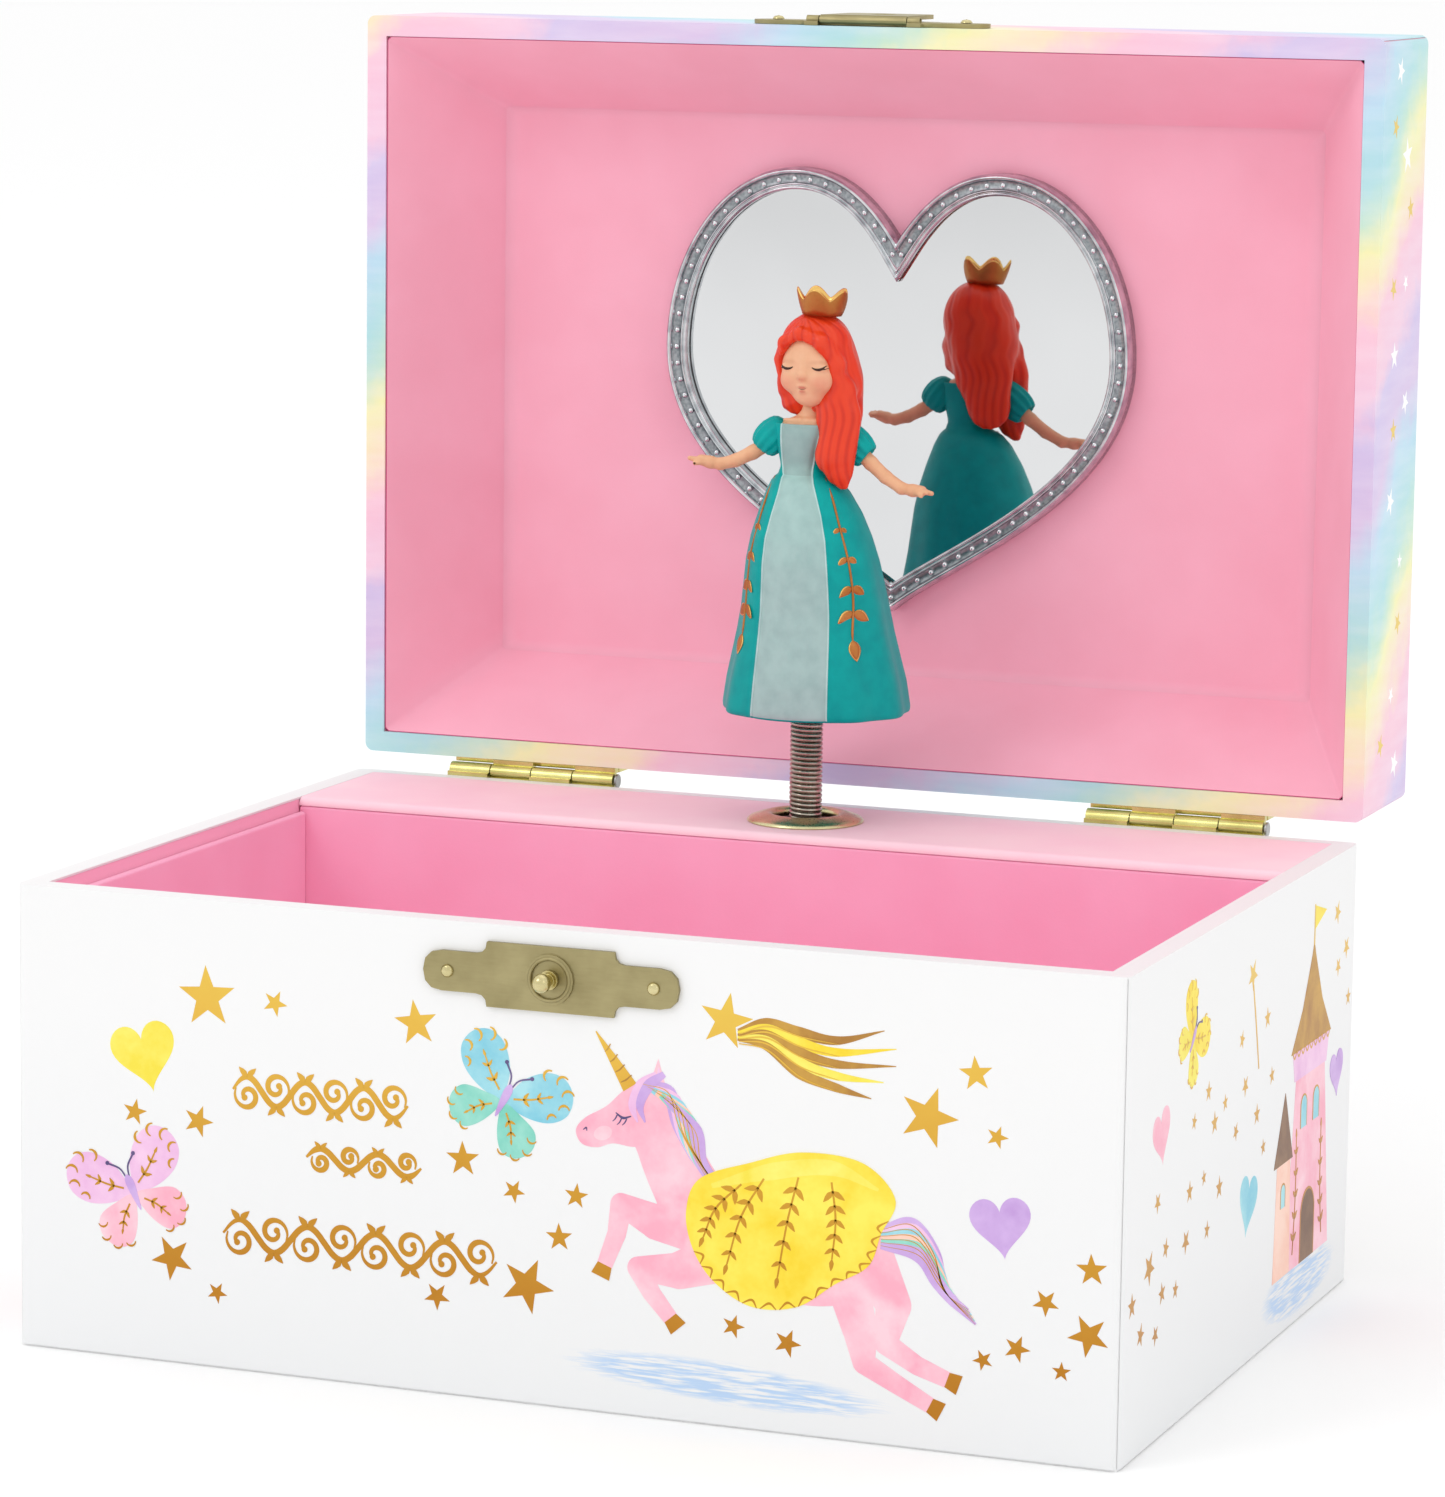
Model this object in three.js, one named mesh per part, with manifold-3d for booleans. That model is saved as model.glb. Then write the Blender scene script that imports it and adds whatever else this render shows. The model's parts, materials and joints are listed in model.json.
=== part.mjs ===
// A child's musical jewellery box: a paper-wrapped board box with a lined compartment, a hinged lid with a
// heart mirror, a music movement under the rear shelf, and a princess figurine on a coil spring.
//
// Millimetres, +Z up, X across the box and Y from its front to its back. The origin is the centre of the
// underside. The lid stands open at 90 degrees, which is the rest pose, and everything is modelled there.

import * as THREE from "three";
import { mergeVertices } from "three/addons/utils/BufferGeometryUtils.js";
import Module from "manifold-3d";

const wasm = await Module();
wasm.setup();

// ---- driving dimensions ----

const WIDTH = 152; // of box and lid
const DEPTH = 107; // of the box
const HEIGHT = 62; // of the box, to its rim
const CORNER_R = 1.2; // of the wrapped upright edges
const WRAP = 0.3; // printed paper
const GLUE = 0.05; // between glued or seated pieces
const BOARD = 2.8; // front and side walls
const BACK_BOARD = 1.9;
const BOTTOM = 3;
const LINING = 1.2; // padded card
const LINING_DROP = 2; // from the rim down to the side linings
const DECK = 1.2; // rear shelf and its front wall
const DECK_DEPTH = 25.6; // from the inside of the back wall
const DECK_NOSE_R = 1.1;

const LID_OVERHANG = 1; // past the front of the box
const LID_BOARD = 2.6;
const LID_TOP_BOARD = 2;
const LINER = 0.8; // tapered pink tray in the lid
const LINER_DEPTH = 20; // from the lid's rim to the face of the tray's panel
const LINER_TAPER = 10.5; // how far the tray's walls lean in over that depth
const MITRE_GAP = 0.1; // at each end of a leaning wall

const HINGE_OUT = 1.9; // from the back of the box to the hinge axis
const HINGE_UP = 0.6; // from the rim to the hinge axis
const HINGE_LENGTH = 26;
const HINGE_X = 49; // middle of each hinge from the middle of the box
const BARREL_R = 1.2;
const PIN_R = 0.5;
const LEAF = 0.8;
const LEAF_HEIGHT = 11;
const KNUCKLES = 4;
const KNUCKLE_GAP = 0.15;
const RUNNING = 0.08; // radial clearance of a turning fit

const LATCH_WIDTH = 35;
const LATCH_HEIGHT = 8.4;
const LATCH_DOWN = 6.4; // from the rim to the middle of the plate
const LATCH_THICK = 0.6;
const LATCH_CENTRE_W = 17.4;
const STUD_R = 0.8;
const STUD_BALL_R = 1.25;
const STUD_OUT = 4.6;
const HASP_SLOT_W = 3.2;
const HASP_THICK = 0.6;
const HASP_SLOT_LENGTH = 4.4;
const HASP_MARGIN = 2; // of metal past the slot

const MIRROR_HALF = 35.6;
const MIRROR_HEIGHT = 64;
const MIRROR_SHIFT = 1.1; // from the middle of the lid towards its front
const FRAME_BAND = 3.2;
const FRAME_THICK = 3.4;
const GLASS_THICK = 1.4;

const FIGURE_BACK = 13.25; // from the inside of the back wall to the spindle's axis, at x = 0
const HEM_UP = 13.5; // from the rim to the hem
const HEM_R = 13.1;
const SPRING_R = 2.35;
const SPRING_BORE_R = 1.65;
const SPRING_BOTTOM = -12; // from the rim
const SPRING_TOP = 16;
const SPINDLE_R = 1.5;
const GROMMET_R = 8.2;
const GROMMET_HOLE_R = 4.5;
const GROMMET_RISE = 1.2;

const BARREL_CASE_R = 11; // the mainspring's drum
const BARREL_CASE_CLEAR = 1; // over the bottom board
const CONTRATE_TEETH = 36;
const CONTRATE_R = 9.9;
const PINION_TEETH = 9;
const CYLINDER_R = 6.5;
const CYLINDER_LENGTH = 18;
const TRAIN_TEETH = 26; // the cylinder's upper wheel
const FLY_TEETH = 8;
const TRAIN_MODULE = 0.5;
const COMB_TEETH = 18;
const BEDPLATE = 1.6;
const ARBOR_R = 1;
const KEY_SPAN = 17;

// ---- places worked out from them ----

const SIDE = WIDTH / 2 - WRAP - GLUE; // outside of the side walls' boards
const FRONT = -DEPTH / 2 + WRAP + GLUE;
const BACK = DEPTH / 2 - WRAP - GLUE;
const INNER_X = SIDE - BOARD;
const INNER_FRONT = FRONT + BOARD;
const INNER_BACK = BACK - BACK_BOARD;
const BOARD_TOP = HEIGHT - WRAP - GLUE;
const DECK_FRONT = INNER_BACK - DECK_DEPTH;
const FIGURE_Y = INNER_BACK - FIGURE_BACK;
const BARREL_CASE_Z = BOTTOM + BARREL_CASE_R + BARREL_CASE_CLEAR;
const AXIS_Y = DEPTH / 2 + HINGE_OUT;
const AXIS_Z = HEIGHT + HINGE_UP;
const HEM_Z = HEIGHT + HEM_UP;

// ---- solids ----

const weld = (geometry) => {
  const bare = new THREE.BufferGeometry();
  bare.setAttribute("position", geometry.getAttribute("position"));
  bare.setIndex(geometry.index);
  return mergeVertices(bare, 1e-4);
};

const solid = (geometry) => {
  const merged = weld(geometry);
  const vertProperties = new Float32Array(merged.attributes.position.array);
  const triVerts = new Uint32Array(merged.index.array);
  return new wasm.Manifold(new wasm.Mesh({ numProp: 3, vertProperties, triVerts }));
};

const join = (first, ...rest) => rest.reduce((sum, piece) => sum.add(piece), first);

const cut = (first, ...rest) => rest.reduce((left, piece) => left.subtract(piece), first);

const geometryOf = (made) => {
  const { vertProperties, triVerts } = made.getMesh();
  const geometry = new THREE.BufferGeometry();
  geometry.setAttribute("position", new THREE.BufferAttribute(vertProperties, 3));
  geometry.setIndex(new THREE.BufferAttribute(triVerts, 1));
  geometry.computeVertexNormals();
  return geometry;
};

const box = (x0, x1, y0, y1, z0, z1) =>
  solid(
    new THREE.BoxGeometry(x1 - x0, y1 - y0, z1 - z0).translate((x0 + x1) / 2, (y0 + y1) / 2, (z0 + z1) / 2),
  );

// A turned solid about +Z from [radius, height] pairs that start and end on the axis, lowest first.
const turned = (profile, sides = 24) =>
  solid(
    new THREE.LatheGeometry(
      profile.map(([r, z]) => new THREE.Vector2(r, z)),
      sides,
    ).rotateX(Math.PI / 2),
  );

const rod = (radius, z0, z1, sides = 20) =>
  turned([[0, z0], [radius, z0], [radius, z1], [0, z1]], sides);

const ring = (outer, inner, z0, z1, sides = 24) =>
  cut(rod(outer, z0, z1, sides), rod(inner, z0 - 1, z1 + 1, sides));

const egg = (rx, ry, rz, x = 0, y = 0, z = 0, across = 14, up = 8) =>
  solid(new THREE.SphereGeometry(1, across, up).scale(rx, ry, rz).translate(x, y, z));

// The shape's outline, extruded from z0 to z1.
const slab = (shape, z0, z1, curveSegments = 8) => {
  const options = { depth: z1 - z0, bevelEnabled: false, curveSegments };
  return solid(new THREE.ExtrudeGeometry(shape, options).translate(0, 0, z0));
};

const polygon = (points) => new THREE.Shape(points.map(([x, y]) => new THREE.Vector2(x, y)));

// The same solid, turned so that its +Z lies along +X, +Y or -Y.
const alongX = (made) => made.rotate([0, 90, 0]);
const alongY = (made) => made.rotate([-90, 0, 0]);
const againstY = (made) => made.rotate([90, 0, 0]);

const roundedRectangle = (x0, x1, y0, y1, r) => {
  const shape = new THREE.Shape();
  shape.moveTo(x0 + r, y0);
  shape.lineTo(x1 - r, y0);
  shape.absarc(x1 - r, y0 + r, r, -Math.PI / 2, 0);
  shape.lineTo(x1, y1 - r);
  shape.absarc(x1 - r, y1 - r, r, 0, Math.PI / 2);
  shape.lineTo(x0 + r, y1);
  shape.absarc(x0 + r, y1 - r, r, Math.PI / 2, Math.PI);
  shape.lineTo(x0, y0 + r);
  shape.absarc(x0 + r, y0 + r, r, Math.PI, Math.PI * 1.5);
  return shape;
};

// A solid with a bottom and a top of four corners each, both listed anticlockwise seen from above.
const wedge = (bottom, top) => {
  const geometry = new THREE.BufferGeometry();
  geometry.setAttribute("position", new THREE.Float32BufferAttribute([...bottom, ...top].flat(), 3));
  const walls = [0, 1, 2, 3].flatMap((i) => {
    const j = (i + 1) % 4;
    return [i, j, j + 4, i, j + 4, i + 4];
  });
  geometry.setIndex([0, 2, 1, 0, 3, 2, 4, 5, 6, 4, 6, 7, ...walls]);
  return solid(geometry);
};

// A wheel about +Z with straight-sided teeth.
const wheel = (teeth, root, tip, rootWidth, tipWidth, z0, z1) => {
  const points = [];
  for (let i = 0; i < teeth; i++) {
    const middle = (i * 2 * Math.PI) / teeth;
    for (const [r, side] of [[root, -rootWidth], [tip, -tipWidth], [tip, tipWidth], [root, rootWidth]]) {
      const angle = middle + side / 2 / r;
      points.push([r * Math.cos(angle), r * Math.sin(angle)]);
    }
  }
  return slab(polygon(points), z0, z1);
};

// ---- materials ----

const material = (color, roughness, metalness = 0) =>
  new THREE.MeshStandardMaterial({ color, roughness, metalness });

const board = material("#c9ad86", 0.9);
const whitePaper = material("#f6f6f6", 0.55);
const pastelPaper = material("#dccbe6", 0.6);
const pinkPaper = material("#f49abb", 0.75);
const palePink = material("#f4c9d3", 0.75);
const brass = material("#c9b878", 0.35, 1);
const nickel = material("#8a8078", 0.35, 1);
const steel = material("#9a9a98", 0.4, 1);
const silver = material("#b4b8ba", 0.2, 1);
const mirror = material("#d3d3d3", 0.03, 1);
const gown = material("#05a3a0", 0.45);
const skin = material("#e8b58f", 0.5);
const hair = material("#e8401f", 0.45);
const gold = material("#c98b4a", 0.4, 0.6);

const object = new THREE.Group();
const lid = new THREE.Group(); // drawn closed about the hinge axis, then opened
lid.position.set(0, AXIS_Y, AXIS_Z);
lid.rotation.x = -Math.PI / 2;
object.add(lid);

const put = (name, made, look, group = object) => {
  const mesh = new THREE.Mesh(geometryOf(made), look);
  mesh.name = name;
  group.add(mesh);
};

// ---- box ----

const keyHole = alongY(rod(ARBOR_R + 1, 0, 2 * BOARD)).translate([0, INNER_BACK - BOARD, BARREL_CASE_Z]);

const buildWalls = () => {
  put("base_bottom", box(-INNER_X, INNER_X, INNER_FRONT, INNER_BACK, 0, BOTTOM), board);
  put("base_front", box(-SIDE, SIDE, FRONT, INNER_FRONT - GLUE, 0, BOARD_TOP), board);
  put("base_back", cut(box(-SIDE, SIDE, INNER_BACK + GLUE, BACK, 0, BOARD_TOP), keyHole), board);
  const ends = [INNER_FRONT, INNER_BACK, 0, BOARD_TOP];
  put("base_left", box(-SIDE, -INNER_X - GLUE, ...ends), board);
  put("base_right", box(INNER_X + GLUE, SIDE, ...ends), board);
};

const buildBaseWrap = () => {
  const outside = roundedRectangle(-WIDTH / 2, WIDTH / 2, -DEPTH / 2, DEPTH / 2, CORNER_R);
  const full = slab(outside, WRAP, HEIGHT, 4);
  const boards = box(-SIDE - GLUE, SIDE + GLUE, FRONT - GLUE, BACK + GLUE, -1, BOARD_TOP + GLUE);
  const inside = box(-INNER_X, INNER_X, INNER_FRONT, INNER_BACK, -1, HEIGHT + 1);
  put("base_wrap", cut(full, boards, inside, keyHole), whitePaper);
};

const buildLinings = () => {
  const low = BOTTOM + GLUE + LINING;
  const top = HEIGHT - LINING_DROP;
  const x = INNER_X - GLUE;
  const front = INNER_FRONT + GLUE;
  const back = DECK_FRONT - GLUE;
  put("lining_floor", box(-x, x, front, back, BOTTOM + GLUE, low), pinkPaper);
  put("lining_front", box(-x, x, front, front + LINING, low + GLUE, top), pinkPaper);
  const run = [front + LINING + GLUE, back, low + GLUE, top];
  put("lining_left", box(-x, -x + LINING, ...run), pinkPaper);
  put("lining_right", box(x - LINING, x, ...run), pinkPaper);
};

const STOP_WIRE_X = -5;
const STOP_WIRE_R = 0.4;
const STOP_WIRE_Y = INNER_BACK - 1.3;

const buildDeck = () => {
  const x = INNER_X - GLUE;
  const nose = new THREE.Shape(); // across Y and Z
  nose.moveTo(DECK_FRONT, HEIGHT - DECK);
  nose.lineTo(INNER_BACK - GLUE, HEIGHT - DECK);
  nose.lineTo(INNER_BACK - GLUE, HEIGHT);
  nose.lineTo(DECK_FRONT + DECK_NOSE_R, HEIGHT);
  nose.absarc(DECK_FRONT + DECK_NOSE_R, HEIGHT - DECK_NOSE_R, DECK_NOSE_R, Math.PI / 2, Math.PI);
  const plate = slab(nose, -x, x, 5).rotate([90, 0, 90]);
  const figureHole = rod(GROMMET_HOLE_R + 0.5, HEIGHT - 2 * DECK, HEIGHT + 1, 28).translate([0, FIGURE_Y, 0]);
  const wireHole = rod(STOP_WIRE_R + 0.4, HEIGHT - 2 * DECK, HEIGHT + 1, 12);
  put("deck_top", cut(plate, figureHole, wireHole.translate([STOP_WIRE_X, STOP_WIRE_Y, 0])), palePink);
  const wallTop = HEIGHT - DECK - GLUE;
  put("deck_front", box(-x, x, DECK_FRONT, DECK_FRONT + DECK, BOTTOM + GLUE, wallTop), pinkPaper);
};

const buildGrommet = () => {
  const z = HEIGHT + GLUE;
  const lip = 0.4;
  const dome = turned(
    [[0, z], [GROMMET_R, z], [GROMMET_R - 0.3, z + lip],
      [GROMMET_R - 1.6, z + GROMMET_RISE * 0.85], [GROMMET_R - 2.6, z + GROMMET_RISE],
      [GROMMET_HOLE_R, z + GROMMET_RISE * 0.7], [0, z + GROMMET_RISE * 0.7]],
    32,
  );
  const made = cut(dome, rod(GROMMET_HOLE_R, z - 1, z + 2 * GROMMET_RISE, 32)).translate([0, FIGURE_Y, 0]);
  put("deck_grommet", made, brass);
};

// ---- latch ----

// A plate in the XY plane: a middle rectangle, a concave notch each side, and a rounded lobe at each end.
const latchOutline = () => {
  const half = LATCH_HEIGHT / 2;
  const mid = LATCH_CENTRE_W / 2;
  const notch = 1.5;
  const lobe = half * 0.62;
  const shape = new THREE.Shape();
  const quarter = (sx, sy, first) => {
    const inner = [sx * mid, sy * half];
    const throat = [sx * (mid + notch), sy * lobe];
    const end = [sx * (LATCH_WIDTH / 2), 0];
    if (first) {
      shape.lineTo(...inner);
      shape.quadraticCurveTo(sx * mid, sy * lobe, ...throat);
      shape.lineTo(sx * (LATCH_WIDTH / 2 - 2.6), sy * lobe);
      shape.quadraticCurveTo(sx * (LATCH_WIDTH / 2), sy * lobe, ...end);
    } else {
      shape.quadraticCurveTo(sx * (LATCH_WIDTH / 2), sy * lobe, sx * (LATCH_WIDTH / 2 - 2.6), sy * lobe);
      shape.lineTo(...throat);
      shape.quadraticCurveTo(sx * mid, sy * lobe, ...inner);
    }
  };
  shape.moveTo(0, -half);
  quarter(1, -1, true);
  quarter(1, 1, false);
  quarter(-1, 1, true);
  quarter(-1, -1, false);
  return shape;
};

const LATCH_PIN_X = LATCH_WIDTH / 2 - 3.4;
const LATCH_PIN_R = 0.9;

const latchPlate = () => {
  const hole = rod(LATCH_PIN_R * 0.6, -1, LATCH_THICK + 1, 12);
  const plate = slab(latchOutline(), 0, LATCH_THICK, 3);
  return cut(plate, hole.translate([LATCH_PIN_X, 0, 0]), hole.translate([-LATCH_PIN_X, 0, 0]));
};

// A round-headed nail whose shank stops in the plate's hole.
const latchPin = () =>
  turned(
    [[0, GLUE], [LATCH_PIN_R * 0.6 - GLUE, GLUE], [LATCH_PIN_R * 0.6 - GLUE, LATCH_THICK + GLUE],
      [LATCH_PIN_R, LATCH_THICK + GLUE], [LATCH_PIN_R * 0.7, LATCH_THICK + 0.45], [0, LATCH_THICK + 0.6]],
    16,
  );

const placeOnFront = (made) => againstY(made).translate([0, -DEPTH / 2 - GLUE, HEIGHT - LATCH_DOWN]);

const buildLatch = () => {
  const studHole = rod(STUD_R + GLUE, -1, LATCH_THICK + 1, 16);
  const dish = ring(3.3, 2.5, LATCH_THICK - 0.1, LATCH_THICK + 0.3, 20);
  put("latch_plate", placeOnFront(join(cut(latchPlate(), studHole), dish)), brass);
  const ballZ = STUD_OUT - STUD_BALL_R;
  const stud = join(
    rod(STUD_R, GLUE, ballZ, 12),
    rod(STUD_R + 0.5, LATCH_THICK + GLUE, LATCH_THICK + 0.7, 12),
    egg(STUD_BALL_R, STUD_BALL_R, STUD_BALL_R, 0, 0, ballZ, 12, 8),
  );
  put("latch_stud", placeOnFront(stud), brass);
  put("latch_pin_left", placeOnFront(latchPin().translate([-LATCH_PIN_X, 0, 0])), brass);
  put("latch_pin_right", placeOnFront(latchPin().translate([LATCH_PIN_X, 0, 0])), brass);
};

// ---- hinges ----

// The knuckles that one leaf owns, along X, as [start, end] pairs from the hinge's left end.
const knuckleSpans = (first) => {
  const step = HINGE_LENGTH / KNUCKLES;
  const gap = KNUCKLE_GAP / 2;
  const spans = [];
  for (let i = first; i < KNUCKLES; i += 2) spans.push([i * step + gap, (i + 1) * step - gap]);
  return spans;
};

// A leaf about the hinge axis, hanging down from its knuckles on the face at y = -HINGE_OUT.
const leaf = (first, height) => {
  const inner = -HINGE_OUT + GLUE;
  const clear = -BARREL_R - 0.25;
  const plate = box(0, HINGE_LENGTH, inner, inner + LEAF, -height, clear);
  const heads = [0.2, 0.8].map((share) =>
    alongY(
      turned([[0, 0], [1.1, 0], [0.8, 0.45], [0, 0.55]], 10),
    ).translate([HINGE_LENGTH * share, inner + LEAF - 0.05, -height * 0.62]),
  );
  const knuckles = knuckleSpans(first).map(([x0, x1]) => {
    const tube = alongX(rod(BARREL_R, x0, x1, 16));
    return join(tube, box(x0, x1, inner, inner + LEAF, clear - 0.1, 0));
  });
  const bore = alongX(rod(PIN_R + RUNNING, -1, HINGE_LENGTH + 1, 10));
  return cut(join(plate, ...heads, ...knuckles), bore);
};

const buildHinges = () => {
  for (const [side, sign] of [["left", -1], ["right", 1]]) {
    const x = sign * HINGE_X - HINGE_LENGTH / 2;
    const place = [x, AXIS_Y, AXIS_Z];
    put(`hinge_${side}_base_leaf`, leaf(0, LEAF_HEIGHT).translate(place), brass);
    // The lid's leaf is the mirror of the box's while the lid is closed.
    const above = leaf(0, LEAF_HEIGHT).rotate([0, 180, 0]).translate([HINGE_LENGTH, 0, 0]);
    put(`hinge_${side}_lid_leaf`, above.translate([x, 0, 0]), brass, lid);
    const pin = join(
      alongX(rod(PIN_R, -0.1, HINGE_LENGTH + 0.1, 10)),
      alongX(rod(BARREL_R - 0.2, HINGE_LENGTH + 0.1, HINGE_LENGTH + 0.5, 14)),
    );
    put(`hinge_${side}_pin`, pin.translate(place), brass);
  }
};

// ---- lid, drawn closed about the hinge axis: its rim a little below, its front towards -Y ----

const LID_RIM = -0.1;
const LID_HEIGHT = LINER_DEPTH + LINER + LID_TOP_BOARD + WRAP + 2 * GLUE;
const LID_TOP = LID_RIM + LID_HEIGHT;
const LID_BACK = -HINGE_OUT;
const LID_FRONT = LID_BACK - DEPTH - LID_OVERHANG;
const LID_SIDE = WIDTH / 2 - WRAP - GLUE;
const LID_INNER_X = LID_SIDE - LID_BOARD;
const LID_INNER_BACK = LID_BACK - WRAP - GLUE - LID_BOARD;
const LID_INNER_FRONT = LID_FRONT + WRAP + GLUE + LID_BOARD;
const PANEL_Z = LID_RIM + LINER_DEPTH;

const buildLidBoards = () => {
  const front = LID_FRONT + WRAP + GLUE;
  const back = LID_BACK - WRAP - GLUE;
  const low = LID_RIM + WRAP + GLUE;
  const under = LID_TOP - WRAP - GLUE - LID_TOP_BOARD;
  put("lid_top", box(-LID_SIDE, LID_SIDE, front, back, under, under + LID_TOP_BOARD), board, lid);
  const span = [low, under - GLUE];
  put("lid_front", box(-LID_SIDE, LID_SIDE, front, LID_INNER_FRONT, ...span), board, lid);
  put("lid_back", box(-LID_SIDE, LID_SIDE, LID_INNER_BACK, back, ...span), board, lid);
  const run = [LID_INNER_FRONT + GLUE, LID_INNER_BACK - GLUE, ...span];
  put("lid_left", box(-LID_SIDE, -LID_INNER_X, ...run), board, lid);
  put("lid_right", box(LID_INNER_X, LID_SIDE, ...run), board, lid);
};

const buildLidWrap = () => {
  const outside = roundedRectangle(-WIDTH / 2, WIDTH / 2, LID_FRONT, LID_BACK, CORNER_R);
  const full = slab(outside, LID_RIM, LID_TOP, 4);
  const half = LID_SIDE + GLUE;
  const boards = box(-half, half, LID_FRONT + WRAP, LID_BACK - WRAP, LID_RIM + WRAP, LID_TOP - WRAP);
  const mouth = box(-LID_INNER_X, LID_INNER_X, LID_INNER_FRONT, LID_INNER_BACK, LID_RIM - 1, LID_RIM + 1);
  put("lid_wrap", cut(full, boards, mouth), pastelPaper, lid);
};

const buildLiner = () => {
  const rim = { x: LID_INNER_X - GLUE, front: LID_INNER_FRONT + GLUE, back: LID_INNER_BACK - GLUE };
  const panel = { x: rim.x - LINER_TAPER, front: rim.front + LINER_TAPER, back: rim.back - LINER_TAPER };
  const panelTop = PANEL_Z + LINER;
  put("liner_panel", box(-panel.x, panel.x, panel.front, panel.back, PANEL_Z, panelTop), pinkPaper, lid);
  // A wall stands on the rim between corners a and b and leans inwards, mitred at both ends.
  const wall = (name, a, b, inward) => {
    const [low, high] = [LID_RIM + WRAP, PANEL_Z - GLUE];
    const run = [Math.sign(b[0] - a[0]), Math.sign(b[1] - a[1])];
    const at = ([x, y], end, depth, z) => [
      x + inward[0] * depth + end * run[0] * (depth + MITRE_GAP),
      y + inward[1] * depth + end * run[1] * (depth + MITRE_GAP),
      z,
    ];
    const layer = (outer, inner, z) => [
      at(a, 1, outer, z),
      at(b, -1, outer, z),
      at(b, -1, inner, z),
      at(a, 1, inner, z),
    ];
    const made = wedge(layer(0, LINER, low), layer(LINER_TAPER - LINER, LINER_TAPER, high));
    put(name, made, pinkPaper, lid);
  };
  wall("liner_front", [-rim.x, rim.front], [rim.x, rim.front], [0, 1]);
  wall("liner_right", [rim.x, rim.front], [rim.x, rim.back], [-1, 0]);
  wall("liner_back", [rim.x, rim.back], [-rim.x, rim.back], [0, -1]);
  wall("liner_left", [-rim.x, rim.back], [-rim.x, rim.front], [1, 0]);
};

// A heart about x = 0 with its point at y = 0, drawn with its lobes towards +Y.
const heart = () => {
  const w = MIRROR_HALF;
  const h = MIRROR_HEIGHT;
  const shape = new THREE.Shape();
  shape.moveTo(0, 0);
  shape.bezierCurveTo(0.225 * w, 0.11 * h, w, 0.265 * h, w, 0.586 * h);
  shape.bezierCurveTo(w, 0.814 * h, 0.744 * w, h, 0.434 * w, h);
  shape.bezierCurveTo(0.25 * w, h, 0.11 * w, 0.938 * h, 0, 0.842 * h);
  shape.bezierCurveTo(-0.11 * w, 0.938 * h, -0.25 * w, h, -0.434 * w, h);
  shape.bezierCurveTo(-0.744 * w, h, -w, 0.814 * h, -w, 0.586 * h);
  shape.bezierCurveTo(-w, 0.265 * h, -0.225 * w, 0.11 * h, 0, 0);
  return shape;
};

// The outline moved inwards by a distance, with its corners mitred.
const inset = (outline, distance) => {
  const n = outline.length;
  return outline.map((p, i) => {
    const before = outline[(i + n - 1) % n];
    const after = outline[(i + 1) % n];
    const a = new THREE.Vector2(before.y - p.y, p.x - before.x).normalize();
    const b = new THREE.Vector2(p.y - after.y, after.x - p.x).normalize();
    const middle = a.clone().add(b);
    return p.clone().addScaledVector(middle, (2 * distance) / middle.lengthSq());
  });
};

const buildMirror = () => {
  const outline = heart().getPoints(7).slice(0, -1);
  const top = (LID_BACK + LID_FRONT) / 2 - MIRROR_SHIFT - MIRROR_HEIGHT / 2;
  const hanging = (points, z0, z1) => {
    const shape = new THREE.Shape(points.map((p) => new THREE.Vector2(p.x, -p.y + MIRROR_HEIGHT)));
    return slab(shape, z0, z1).translate([0, top, 0]);
  };
  const face = PANEL_Z - GLUE;
  const outer = hanging(outline, face - FRAME_THICK, face);
  const window = hanging(inset(outline, FRAME_BAND), face - FRAME_THICK - 1, face + 1);
  const lipWidth = 1;
  const lip = hanging(inset(outline, FRAME_BAND - lipWidth), face - GLASS_THICK - 2 * GLUE, face + 1);
  put("mirror_frame", cut(outer, window, lip), silver, lid);
  const pane = hanging(inset(outline, FRAME_BAND - lipWidth + GLUE), face - GLASS_THICK, face);
  put("mirror_glass", pane, mirror, lid);
};

// The plate on the lid's front, and the hasp that is folded back on it.
const CATCH_UP = LATCH_HEIGHT / 2 + 0.8; // from the lid's rim to the middle of the plate
const HASP_AXIS_V = -LATCH_HEIGHT / 2 + 0.8; // from the middle of the plate to the hasp's pin
const HASP_AXIS_OUT = 0.825; // from the lid's front
const HASP_HALF = LATCH_CENTRE_W / 2 - 2.2;
const HASP_KNUCKLE_R = 0.6;
const HASP_PIN_R = 0.3;
// From the pin to the box's stud while the lid is closed.
const HASP_STUD_REACH = LATCH_DOWN + HINGE_UP + LID_RIM + CATCH_UP + HASP_AXIS_V;

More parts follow.
